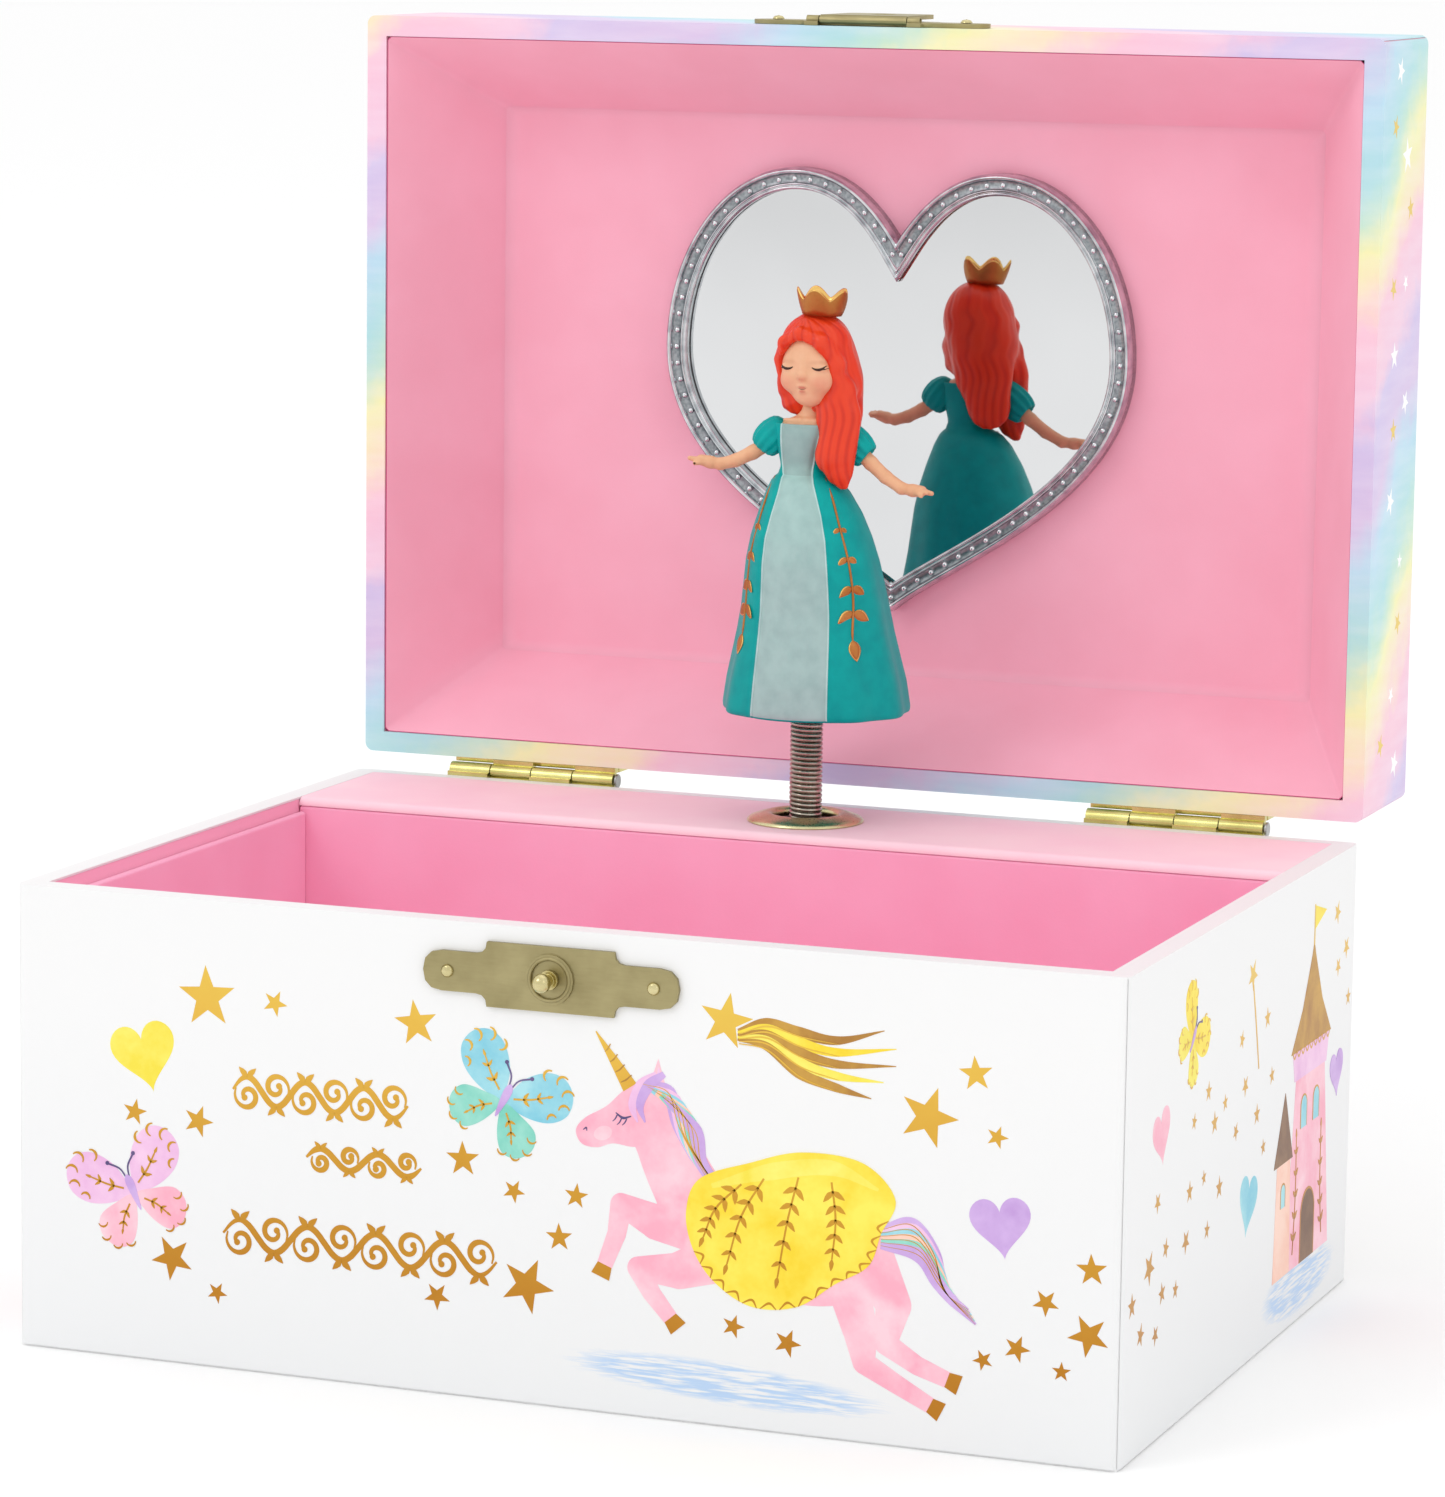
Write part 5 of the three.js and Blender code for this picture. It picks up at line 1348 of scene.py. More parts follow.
def crown():
    """A five-pointed band that flares upwards, with rounded points and a painted highlight along its top
    edge.
    """
    base_z, tall, low_r, high_r, thick, sides = 57.7, 3.7, 2.75, 3.8, 0.42, 150
    lean = math.radians(3)
    rows = []
    # share of the height, and how far the wall has moved in from the outside
    for share, moved in (
        (0, 0), (0.25, 0), (0.5, 0), (0.7, 0), (0.86, 0), (0.95, 0.04), (1.0, 0.14), (1.0, 0.28),
        (0.95, 0.38), (0.8, thick), (0.5, thick), (0.2, thick), (0.12, 1.2), (0.12, 2.1)
    ):
        row = []
        for k in range(sides):
            angle = 2 * math.pi * k / sides
            point = abs(math.cos(2.5 * (angle + 0.3))) ** 1.5
            height = tall * (0.6 + 0.4 * point) * share
            belly = 0.12 * math.sin(math.pi * share) * (moved == 0)
            out = low_r + (high_r - low_r) * height / tall + belly - moved
            x, y, z = out * math.cos(angle), out * math.sin(angle), height
            row.append((x * math.cos(lean) + z * math.sin(lean), y, z * math.cos(lean) - x * math.sin(lean)))
        rows.append(np.array(row) + [1.2, 0.4, base_z] + HEM)
    points, faces = capped(rows)
    # The rows round the top edge take the painted highlight.
    looks = [1 if 5 <= i // sides <= 8 and i < sides * (len(rows) - 1) else 0 for i in range(len(faces))]
    make_piece(
        "princess_crown", points, faces, [GILT, GILT_HIGHLIGHT], "figurine", "crown_paint", face_looks=looks,
        recalc=True, stands_for=["figure_crown"]
    )


crown()


def arm(way, path, name, node):
    """Arm and open hand, palm down, with the fingers a little apart."""
    path = np.array(path)
    widths = [1.05, 1.0, 0.92, 0.84, 0.72]

    def field(x, y, z):
        shape = None
        for (a, b), (ra, rb) in zip(zip(path, path[1:]), zip(widths, widths[1:])):
            part = limb(x, y, z, a, b, ra, rb)
            shape = part if shape is None else melt(shape, part, 0.3)
        wrist, reach = path[-1], path[-1] - path[-2]
        reach = reach / np.linalg.norm(reach)
        palm_end = wrist + reach * 1.3 + [0, 0, 0.12]
        for spread in (-0.33, 0.33):
            shape = melt(
                shape, limb(x, y, z, wrist + [0, spread * 0.4, 0], palm_end + [0, spread, 0], 0.74, 0.7), 0.5
            )
        for k, (spread, length) in enumerate(((-0.72, 1.3), (-0.24, 1.65), (0.26, 1.6), (0.72, 1.15))):
            tip = palm_end + reach * length * 0.95 + [0, spread * 1.35, 0.12 - 0.1 * k]
            shape = melt(shape, limb(x, y, z, palm_end + [0, spread, 0], tip, 0.42, 0.32), 0.12)
        thumb = wrist + reach * 0.5
        return melt(
            shape, limb(x, y, z, thumb + [0, -0.4, 0], thumb + reach * 1.25 + [0, -1.25, -0.3], 0.42, 0.32),
            0.25
        )

    ends = np.vstack([path, path[-1] + [way * 3.6, 0, 0]])
    points, faces = modelled(field, ends.min(0) - 1.9, ends.max(0) + 1.9, 0.13)
    make_piece(name, points + HEM, faces, SKIN, "figurine", "skin_paint", stands_for=[node])


arm(
    -1,
    [(-6.6, 0.2, 39.4), (-8.6, -0.1, 38.1), (-11.0, -0.4, 36.9), (-13.2, -0.7, 36.3), (-14.6, -1.0, 36.5)],
    "princess_left_arm", "figure_arm_left"
)
arm(1, [(6.6, 0.5, 39.3), (8.8, 0.3, 37.4), (11.1, 0.0, 35.6), (13.6, -0.4, 34.2), (15.4, -0.7, 34.0)],
    "princess_right_arm", "figure_arm_right")


def sleeves():
    """Short puffed sleeves, gathered in pleats at the shoulder and turned in at the cuff."""
    parts = []
    for top, cuff, size in (
        ((-4.3, 0.1, 42.5), (-7.3, 0.0, 38.7), 2.3), ((3.4, 0.2, 42.3), (8.3, 0.5, 38.2), 2.45)
    ):
        top, cuff = np.array(top), np.array(cuff)
        along = (cuff - top) / np.linalg.norm(cuff - top)
        side = np.cross(along, (0, 1, 0))
        side /= np.linalg.norm(side)
        over = np.cross(side, along)
        rows = []
        for t, swell in (
            (-0.08, 0.25), (-0.04, 0.5), (0.03, 0.68), (0.15, 0.83), (0.32, 0.96), (0.5, 1.0), (0.66, 0.99),
            (0.8, 0.93), (0.9, 0.84), (0.96, 0.76), (0.985, 0.68), (0.97, 0.6), (0.93, 0.5), (0.92, 0.3)
        ):
            row = []
            for k in range(72):
                angle = 2 * math.pi * k / 72
                pleat = 0.1 * math.sin(11 * angle + 1.5 * t) * (0.35 + max(t, 0)) * (swell > 0.55)
                radius = size * swell * (1 + pleat * 0.55)
                middle = top + (cuff - top) * t
                row.append(middle + side * radius * math.cos(angle) + over * radius * math.sin(angle) * 0.86)
            rows.append(np.array(row) + HEM)
        parts.append(capped(rows))
    points, faces = joined(parts)
    make_piece("gown_sleeves", points, faces, TEAL, "figurine", "gown_paint", recalc=True)


sleeves()

# ---------------------------------------------------------------- printed art and foil

FACES = {
    "front": ("box", lambda u, v, d: (u, FRONT_Y - d, v)),
    "right": ("box", lambda u, v, d: (SIDE_X + d, u, v)),
    "left": ("box", lambda u, v, d: (-SIDE_X - d, -u, v)),
}
prints = {}
# How far ink sits in the paper, how far it rises, and how much each level over it adds. All are thicker than
# real ink, so that one colour hides the next.
INK_SUNK, INK_RISE, INK_STEP = 0.02, 0.012, 0.016


def lay(side, look, points, faces):
    """Keeps an area of print until all those of one colour are joined."""
    prints.setdefault((FACES[side][0], look), []).append((points, faces))


def printed(side, look, outline, level=1.0):
    """An area of ink or foil: a thin closed slab on one face of the box, as high as its level says."""
    _, place = FACES[side]
    outline = [tuple(p) for p in outline]
    count = len(outline)
    inner = [tuple(t) for t in tessellate_polygon([[Vector((u, v, 0)) for u, v in outline]])]
    high = INK_RISE + INK_STEP * level
    points = [place(u, v, -INK_SUNK) for u, v in outline] + [place(u, v, high) for u, v in outline]
    faces = [tuple(i + count for i in t) for t in inner] + [t[::-1] for t in inner]
    faces += [(i, (i + 1) % count, (i + 1) % count + count, i + count) for i in range(count)]
    lay(side, look, points, faces)


def stroke(side, look, line, widths, level=1.0, steps=None):
    """A brush stroke along a smooth line, whose width runs through the given values."""
    _, place = FACES[side]
    count = steps or 8 * len(line)
    path = smooth_path([(u, v) for u, v in line], count)
    wide = np.interp(np.linspace(0, 1, count), np.linspace(0, 1, len(widths)), widths) / 2
    run = np.gradient(path, axis=0)
    run /= np.maximum(np.linalg.norm(run, axis=1), 1e-9)[:, None]
    normal = np.stack([-run[:, 1], run[:, 0]], 1)
    one, two = path + normal * wide[:, None], path - normal * wide[:, None]
    high = INK_RISE + INK_STEP * level
    rows = [
        [place(*a, -INK_SUNK), place(*b, -INK_SUNK), place(*b, high), place(*a, high)] for a,
        b in zip(one, two)
    ]
    points, faces = ring_grid(rows)
    last = 4 * (count - 1)
    faces += [(0, 3, 2, 1), (last, last + 1, last + 2, last + 3)]
    lay(side, look, points, faces)


def blob(spots, count=60):
    """A smooth closed outline through the given points."""
    p, fine = list(spots), count * 3
    lap = fine / (len(p) + 4)  # steps from one spot to the next
    return smooth_path(p[-2:] + p + p[:3], fine)[int(lap * 2): int(lap * (len(p) + 2))]


def taper(a, b, ra, rb):
    """The outline of a bar from a to b with round ends of radius ra and rb."""
    a, b = np.array(a, float), np.array(b, float)
    ahead = math.atan2(*(b - a)[::-1])
    far = [
        (b[0] + rb * math.cos(ahead + t), b[1] + rb * math.sin(ahead + t)) for t in np.linspace(-1.5, 1.5, 12)
    ]
    return far + [
        (a[0] + ra * math.cos(ahead + t), a[1] + ra * math.sin(ahead + t)) for t in np.linspace(1.6, 4.7, 12)
    ]


def heart_shape(cu, cv, wide, tilt=0.0):
    """The outline of a printed heart."""
    t = np.linspace(0, 2 * math.pi, 56, endpoint=False)
    x = 16 * np.sin(t) ** 3 / 32 * wide
    y = (13 * np.cos(t) - 5 * np.cos(2 * t) - 2 * np.cos(3 * t) - np.cos(4 * t)) / 30 * wide
    c, s = math.cos(tilt), math.sin(tilt)
    return np.stack([cu + c * x - s * y, cv + s * x + c * y], 1)


def oval(cu, cv, a, b, tilt=0.0, count=36):
    """The outline of an ellipse."""
    t = np.linspace(0, 2 * math.pi, count, endpoint=False)
    c, s = math.cos(tilt), math.sin(tilt)
    return np.stack(
        [cu + c * a * np.cos(t) - s * b * np.sin(t), cv + s * a * np.cos(t) + c * b * np.sin(t)], 1
    )


def leaf(side, look, u, v, bearing, length, level=2.0, plump=0.42):
    """One foil leaf as a short fat stroke."""
    du, dv = math.cos(bearing) * length, math.sin(bearing) * length
    stroke(
        side, look, [(u, v), (u + du / 2, v + dv / 2), (u + du, v + dv)],
        [0.1, length * plump, length * plump * 0.75, 0.08], level, 12
    )


def sprig(side, look, line, size, level=3.0, pairs=4, width=0.28):
    """A foil sprig: a fine stem with leaf pairs and a leaf at its tip."""
    stroke(side, look, line, [width, width, width * 0.8], level)
    path = smooth_path(line, 60)
    for k in range(pairs):
        i = int(59 * (k + 0.7) / (pairs + 0.35))
        du, dv = path[min(i + 1, 59)] - path[i - 1]
        ahead = math.atan2(dv, du)
        grown = size * (1 - 0.35 * k / pairs)
        for way in (-1, 1):
            leaf(side, look, *path[i], ahead + way * 0.85, grown, level)
    du, dv = path[-1] - path[-3]
    leaf(side, look, *path[-1], math.atan2(dv, du), size * 0.8, level)


def scroll_row(side, u0, u1, v, high, waves, width=0.85):
    """A row of gilded running scrolls: a waving stem that throws a curl and two leaves into each bend."""
    bend, swing = (u1 - u0) / (waves * 2), 0.26 * high
    line = [(u0 + bend * k / 4, v + swing * math.sin(k * math.pi / 4)) for k in range(waves * 8 + 1)]
    stroke(side, FOIL, line, [0.3] + [width] * 10 + [0.3], 1.0, 24 * waves)
    for k in range(waves * 2):
        way = 1 if k % 2 == 0 else -1
        u, w = u0 + bend * (k + 0.5), v + way * (swing - 0.36 * high)
        size = 0.27 * high
        ring = [
            (
                u + way * size * (1 - 0.75 * t) * math.cos(2.6 + 7.4 * t),
                w + size * (1 - 0.75 * t) * math.sin(2.6 + 7.4 * t) * way
            )
            for t in np.linspace(0, 1, 16)
        ]
        stroke(side, FOIL, ring, [0.2, width * 0.9, width * 0.8, width * 0.55], 1.6, 48)
        printed(side, FOIL, oval(*ring[-1], width * 0.5, width * 0.5, 0, 16), 2.0)
        foot = (u0 + bend * (k + 0.5), v + way * swing)
        for lean in (0.75, 2.35):
            leaf(side, FOIL, *foot, way * lean, high * 0.24, 2.4, 0.5)


def butterfly(side, cu, cv, tilt, size, upper, lower, flip=1):
    """A butterfly seen from above, turned by tilt: big and small wings, foil scallops and sprigs."""
    c, s = math.cos(tilt), math.sin(tilt)

    def put(points):
        return [(cu + size * (c * flip * x - s * y), cv + size * (s * flip * x + c * y)) for x, y in points]

    for way in (-1, 1):
        big = [
            (0.2, 0.6), (1.0, 3.3), (2.9, 5.3), (4.9, 5.6), (6.4, 4.4), (6.7, 2.4), (5.4, 0.7), (3.0, -0.2),
            (0.3, -0.2)
        ]
        small = [(0.2, -0.3), (2.4, -0.4), (4.6, -1.1), (5.2, -2.9), (4.1, -4.6), (2.3, -4.8), (0.8, -2.9)]
        printed(side, upper, put(blob([(way * x, y) for x, y in big])), 1.0)
        printed(side, lower, put(blob([(way * x, y) for x, y in small])), 1.8)
        for x, y, r in (
            (3.1, 5.0, 0.8), (4.7, 5.2, 0.85), (5.9, 4.2, 0.85), (6.2, 2.7, 0.75), (5.5, 1.2, 0.65)
        ):
            ring = [
                (way * (x + r * 0.8 * math.cos(a)), y + r * 0.8 * math.sin(a))
                for a in np.linspace(2.6 - x * 0.3, 5.4 - x * 0.3, 9)
            ]
            stroke(side, FOIL, put(ring), [0.12 * size, 0.3 * size, 0.12 * size], 3.0, 18)
        for x, y in ((2.4, -4.55), (3.9, -4.3), (4.8, -3.1), (4.6, -1.7)):
            ring = [
                (way * (x + 0.55 * math.cos(a)), y + 0.55 * math.sin(a)) for a in np.linspace(3.6, 6.2, 7)
            ]
            stroke(side, FOIL, put(ring), [0.1 * size, 0.24 * size, 0.1 * size], 3.0, 14)
        sprig(
            side, FOIL, put([(way * 0.9, 0.7), (way * 2.5, 1.7), (way * 3.9, 2.9)]), 0.95 * size, 3.4, 2,
            0.2 * size
        )
        sprig(
            side, FOIL, put([(way * 0.9, -1.0), (way * 2.0, -2.0), (way * 2.7, -3.1)]), 0.8 * size, 3.4, 2,
            0.2 * size
        )
        feeler = put([(way * 0.15, 1.5), (way * 0.5, 2.7), (way * 1.5, 3.6)])
        stroke(side, INK, feeler, [0.14 * size, 0.16 * size, 0.2 * size], 3.8, 16)
        printed(side, INK, oval(*put([(way * 1.6, 3.7)])[0], 0.22 * size, 0.22 * size, 0, 14), 4.0)
    body = put([(-0.05, 1.9), (0.45, 1.2), (0.35, -0.6), (0.05, -2.0), (-0.3, -0.6), (-0.45, 1.2)])
    printed(side, LILAC_WASH, blob(body, 40), 4.2)


def unicorn(side):
    """A leaping unicorn under a saddle cloth, in loose washes with foil details."""
    body = [
        (18.0, 27.5), (21.5, 31.2), (30, 30.4), (40, 30.8), (45.2, 27.6), (46.2, 23.2), (43.4, 18.9),
        (36.5, 17.0), (28.5, 17.6), (21.0, 19.6), (17.6, 23.2)
    ]
    neck = [
        (16.8, 24.6), (14.2, 29.0), (12.2, 33.6), (11.2, 37.6), (13.8, 42.6), (17.8, 40.6), (20.6, 35.6),
        (24.0, 29.6), (21.5, 24.6)
    ]
    head = [
        (13.9, 43.4), (10.6, 42.6), (7.6, 39.9), (4.8, 38.2), (3.5, 36.5), (4.3, 34.8), (6.4, 34.5),
        (8.6, 35.2), (11.2, 35.0), (14.4, 35.4), (16.8, 38.4)
    ]
    printed(side, ROSE_WASH, blob(body), 1.0)
    printed(side, ROSE_WASH, blob(neck), 1.4)
    printed(side, ROSE_WASH, blob(head), 1.8)
    printed(side, BLUSH_WASH, oval(7.2, 36.4, 1.3, 0.9, 0.4), 2.4)
    legs = [
        ([(19.5, 25.5), (14.5, 25.6), (9.8, 27.4), (9.2, 23.6), (7.6, 19.4)], 1.2),
        ([(22.5, 21.5), (17.6, 19.6), (12.2, 19.4), (14.0, 16.4), (16.6, 13.4)], 1.6),
        ([(42.8, 24.6), (46.4, 18.2), (45.4, 13.2), (49.6, 10.8), (53.6, 9.4)], 1.2),
        ([(39.8, 21.8), (42.0, 14.6), (42.6, 10.4), (47.2, 8.0), (51.4, 5.9)], 1.6)
    ]
    for k, (line, level) in enumerate(legs):
        radii = [3.4 if k % 2 == 0 else 3.0, 2.35, 1.5, 1.25, 1.05]
        for j, (one, two) in enumerate(zip(line, line[1:])):
            printed(side, ROSE_WASH, taper(one, two, radii[j], radii[j + 1]), level + 0.14 * j)
        end, before = np.array(line[-1]), np.array(line[-2])
        run = (end - before) / np.linalg.norm(end - before)
        stroke(side, FOIL, [end, end + run * 0.8, end + run * 1.7], [2.0, 2.3, 2.6], 2.6, 8)
    ear = [(13.2, 42.4), (14.6, 46.6), (16.0, 41.8)]
    printed(side, ROSE_WASH, ear, 2.2)
    printed(side, ORCHID_WASH, [(13.9, 42.8), (14.7, 45.6), (15.4, 42.3)], 2.8)
    stroke(side, FOIL, [(10.8, 42.6), (8.5, 46.0), (6.1, 49.4)], [2.1, 1.2, 0.15], 3.0, 16)
    for k in range(4):
        u, v = 10.3 - 0.85 * k, 43.6 + 1.25 * k
        stroke(
            side, AMBER_WASH, [(u - 0.75 + 0.12 * k, v - 0.45), (u, v - 0.05), (u + 0.7 - 0.12 * k, v + 0.6)],
            [0.12, 0.24, 0.12], 3.8, 8
        )
    stroke(side, INK, [(8.9, 39.2), (9.9, 38.6), (11.0, 38.9)], [0.12, 0.36, 0.14], 3.6, 14)
    for u, v in ((9.1, 38.9), (9.7, 38.5), (10.4, 38.5)):
        stroke(side, INK, [(u, v), (u - 0.25, v - 0.5), (u - 0.6, v - 0.85)], [0.18, 0.16, 0.08], 3.6, 8)
    stroke(side, INK, [(4.5, 36.6), (4.9, 36.9), (5.0, 36.5)], [0.1, 0.22, 0.1], 3.6, 10)
    tones = [LILAC_WASH, ORCHID_WASH, AQUA_WASH, PEACH_WASH, MINT_WASH, LILAC_WASH]
    for k, look in enumerate(tones):
        d = 0.9 * k
        mane = [
            (12.6 + 0.6 * k, 43.2 - 0.3 * k), (16.0 + d * 0.8, 42.4 - d), (17.4 + d * 0.7, 38.4 - d),
            (19.6 + d * 0.8, 34.6 - d * 0.9), (21.4 + d * 0.95, 31.8 - d * 0.7)
        ]
        stroke(side, look, mane, [0.8, 1.9, 1.7, 1.5, 0.3], 3.0 + 0.35 * k, 40)
        stroke(side, FOIL, mane, [0.05, 0.12, 0.12, 0.04], 5.6, 40)
        tail = [
            (44.6, 27.6 - 0.4 * k), (48.6 + 0.2 * k, 28.6 - 0.75 * k), (51.6 + 0.1 * k, 25.2 - 0.7 * k),
            (52.9 + 0.25 * k, 20.8 - 0.25 * k), (56.2 + 0.2 * k, 18.6 - 0.35 * k)
        ]
        stroke(side, look, tail, [0.9, 1.9, 1.7, 1.4, 0.25], 3.0 + 0.35 * k, 40)
        stroke(side, FOIL, tail, [0.05, 0.12, 0.1, 0.03], 5.6, 40)
    fringe = [(14.4, 44.6), (12.4, 43.0), (11.2, 40.4), (11.9, 38.2)]
    stroke(side, ORCHID_WASH, fringe, [0.8, 1.6, 1.2, 0.2], 4.2, 24)
    stroke(side, LILAC_WASH, [(u + 1.0, v + 0.1) for u, v in fringe], [0.8, 1.5, 1.1, 0.2], 4.5, 24)
    cloth = [
        (20.4, 31.8), (27.0, 34.4), (34.0, 36.4), (42.0, 35.8), (46.4, 31.6), (44.6, 27.0), (43.0, 22.8),
        (38.6, 20.0), (33.6, 16.6), (27.6, 16.0), (22.6, 18.6), (19.6, 22.6), (18.6, 27.4)
    ]
    printed(side, SUN_WASH, blob(cloth, 80), 6.0)
    outline = blob(cloth, 80)
    hem = outline[int(len(outline) * 0.36): int(len(outline) * 0.86)]
    for k in range(0, len(hem) - 6, 6):
        a, b = hem[k], hem[k + 5]
        middle = (a + b) / 2 + (np.array([32.0, 27.0]) - (a + b) / 2) * 0.07
        stroke(side, FOIL, [a, middle, b], [0.12, 0.34, 0.12], 6.8, 12)
    for line in (
        ((29, 32.6), (26.0, 27.4), (24.2, 21.2)), ((33.6, 33.2), (32.2, 27.4), (31.0, 20.2)),
        ((38.0, 33.0), (38.6, 28.2), (38.2, 23.2)), ((26, 31.6), (22.6, 28.2), (21.0, 24.4))
    ):
        sprig(side, FOIL, list(line), 1.9, 7.2, 5, 0.26)
    stroke(
        side, LEMON_WASH, [(22.0, 31.0), (30.0, 33.6), (38.0, 34.8), (44.2, 32.6)], [0.6, 2.2, 2.0, 0.4], 6.5,
        30
    )


def shooting_star(side):
    """A foil star that trails a fan of wavy ribbons over the unicorn's back."""
    looks = [AMBER_WASH, SUN_WASH, AMBER_WASH, LEMON_WASH, AMBER_WASH]
    for k, look in enumerate(looks):
        d, reach = 1.5 * (k - 2), 23.0 - 1.6 * abs(k - 1.5)
        line = [
            (25.2, 50.6 + 0.3 * (2 - k)), (29.0, 51.0 - 0.5 * d), (33.5, 49.0 - 0.85 * d),
            (38.5, 48.0 - 1.0 * d), (24.0 + reach, 48.4 - 1.45 * d)
        ]
        stroke(side, look, line, [0.3, 1.1, 1.5, 1.1, 0.1], 1.0 + 0.4 * k, 48)
        stroke(side, FOIL, [(u + 0.2, v - 0.5) for u, v in line[:-1]], [0.1, 0.2, 0.16, 0.05], 5.0, 40)


def tower(side):
    """A fairy-tale tower with a pennant, a side turret, windows and a door."""
    printed(side, ROSE_WASH, [(20.6, 8.0), (42.6, 8.0), (38.6, 34.5), (24.2, 34.5)], 1.0)
    printed(side, ORCHID_WASH, [(23.4, 34.0), (39.4, 34.0), (40.6, 38.2), (22.2, 38.2)], 1.8)
    printed(
        side, AMBER_WASH,
        [(21.4, 38.0), (41.4, 38.0), (36.4, 43.4), (32.4, 50.2), (31.6, 52.0), (30.8, 50.2), (26.6, 43.4)],
        2.4
    )
    stroke(side, FOIL, [(31.6, 51.4), (31.6, 54.0), (31.6, 57.0)], [0.4, 0.35, 0.3], 3.0, 8)
    printed(side, SUN_WASH, [(31.8, 56.8), (37.4, 55.4), (31.8, 53.6)], 3.2)
    printed(side, PEACH_WASH, [(14.8, 8.0), (23.0, 8.0), (22.2, 24.0), (15.8, 24.0)], 2.0)
    printed(side, UMBER_WASH, [(14.2, 23.8), (23.4, 23.8), (19.0, 33.4)], 2.6)
    for u, v, w in ((28.4, 28.4, 1.5), (34.6, 28.4, 1.5), (18.9, 18.8, 1.1)):
        window = [(u - w, v - w), (u + w, v - w)] + [
            (u + w * math.cos(a), v + w + w * math.sin(a)) for a in np.linspace(0, math.pi, 11)
        ]
        printed(side, AQUA_WASH, window, 3.2)
        stroke(side, FOIL, window[1:] + [window[0]], [0.26, 0.26], 3.8, 40)
    door = [(28.2, 8.0), (35.0, 8.0)] + [
        (31.6 + 3.4 * math.cos(a), 14.4 + 3.4 * math.sin(a)) for a in np.linspace(0, math.pi, 15)
    ]
    printed(side, UMBER_WASH, door, 3.2)
    stroke(side, FOIL, door[1:] + [door[0]], [0.34, 0.34], 3.8, 50)
    for k in range(9):
        u = 23.0 + 2.1 * k
        stroke(side, FOIL, [(u - 1.0, 38.2), (u, 37.3), (u + 1.0, 38.2)], [0.1, 0.3, 0.1], 4.2, 10)
    for line in (((24.4, 10.0), (25.2, 18.0), (25.0, 26.0)), ((39.0, 10.0), (37.8, 17.0), (37.6, 25.0))):
        sprig(side, FOIL, list(line), 1.7, 4.6, 5, 0.26)


def wand(side):
    """A slim foil wand."""
    stroke(side, FOIL, [(5.4, 39.4), (3.6, 45.6), (1.8, 51.2)], [0.35, 0.42, 0.4], 1.6, 10)


unicorn("front")
shooting_star("front")
scroll_row("front", -44.6, -19.8, 37.4, 7.0, 3)
scroll_row("front", -34.1, -17.9, 29.4, 5.0, 2)
scroll_row("front", -46.0, -7.3, 18.2, 7.6, 4)
printed("front", LEMON_WASH, heart_shape(-57.4, 41.2, 9.4, 0.26), 1.0)
printed("front", LILAC_WASH, heart_shape(60.2, 29.9, 8.0, 0.14), 1.0)
butterfly("front", -59.0, 22.4, 0.42, 1.28, ORCHID_WASH, ROSE_WASH)
butterfly("front", -6.5, 39.4, -0.5, 1.24, AQUA_WASH, MINT_WASH)
for side in ("right", "left"):
    tower(side)
    wand(side)
    printed(side, ROSE_WASH, heart_shape(-38.4, 39.6, 7.4, 0.2), 1.0)
    printed(side, AQUA_WASH, heart_shape(2.0, 22.3, 8.4, -0.2), 1.0)
    printed(side, LILAC_WASH, heart_shape(44.9, 31.6, 6.6, 0.1), 4.9)
    butterfly(side, -25.6, 49.2, -0.75, 1.0, SUN_WASH, LEMON_WASH)
for (body, look), parts in prints.items():
    points, faces = joined(parts)
    make_piece("print_" + look.name, points, faces, look, body, "base_paper", smooth=False, recalc=True)


def stars(tree, source, sockets):
    """Five-pointed foil stars laid flat on the faces, each with its own size, turn and side."""
    shape = add(
        tree, "GeometryNodeCurveStar",
        {"Points": 5, "Inner Radius": sockets["Inner"], "Outer Radius": sockets["Outer"]}
    )
    filled = add(tree, "GeometryNodeFillCurve", {0: shape.outputs[0]}, mode="NGONS")
    thick = add(
        tree, "GeometryNodeExtrudeMesh", {"Mesh": filled.outputs[0], "Offset Scale": sockets["Thickness"]}
    )
    lid = add(tree, "GeometryNodeFlipFaces", {0: filled.outputs[0]})
    both = add(tree, "GeometryNodeJoinGeometry")
    tree.links.new(thick.outputs[0], both.inputs[0])
    tree.links.new(lid.outputs[0], both.inputs[0])
    welded = add(
        tree, "GeometryNodeMergeByDistance", {"Geometry": both.outputs[0], "Distance": sockets["Weld"]}
    )
    named = [
        add(tree, "GeometryNodeInputNamedAttribute", {"Name": n}, data_type="FLOAT").outputs[0]
        for n in ("turn", "facing", "size")
    ]
    euler = add(tree, "ShaderNodeCombineXYZ", {"X": math.pi / 2, "Y": named[0], "Z": named[1]})
    facing = add(tree, "FunctionNodeEulerToRotation", {0: euler.outputs[0]})
    scale = add(tree, "ShaderNodeCombineXYZ", {"X": named[2], "Y": named[2], "Z": 1.0})
    placed = add(tree, "GeometryNodeInstanceOnPoints", {"Points": source, "Instance": welded.outputs[0]})
    tree.links.new(facing.outputs[0], placed.inputs["Rotation"])
    tree.links.new(scale.outputs[0], placed.inputs["Scale"])
    return placed.outputs[0]


def star_piece(name, look, body, slot, spots):
    """spots are (x, y, z, size across, which way it faces: 0 front, 1 right, 2 back, 3 left)."""
    spots = np.array(spots)
    chance = np.random.default_rng(11)
    turn = chance.uniform(-0.5, 0.5, len(spots))
    made = repeated(
        name, stars, {"Inner": 0.2 * MM, "Outer": 0.5 * MM, "Thickness": 0.03 * MM, "Weld": 0.0001 * MM},
        look, spots[:, :3], {"turn": turn, "facing": spots[:, 4] * math.pi / 2, "size": spots[:, 3]},
        closed=None
    )
    shade(made.data, False)
    settle(made, body, slot)


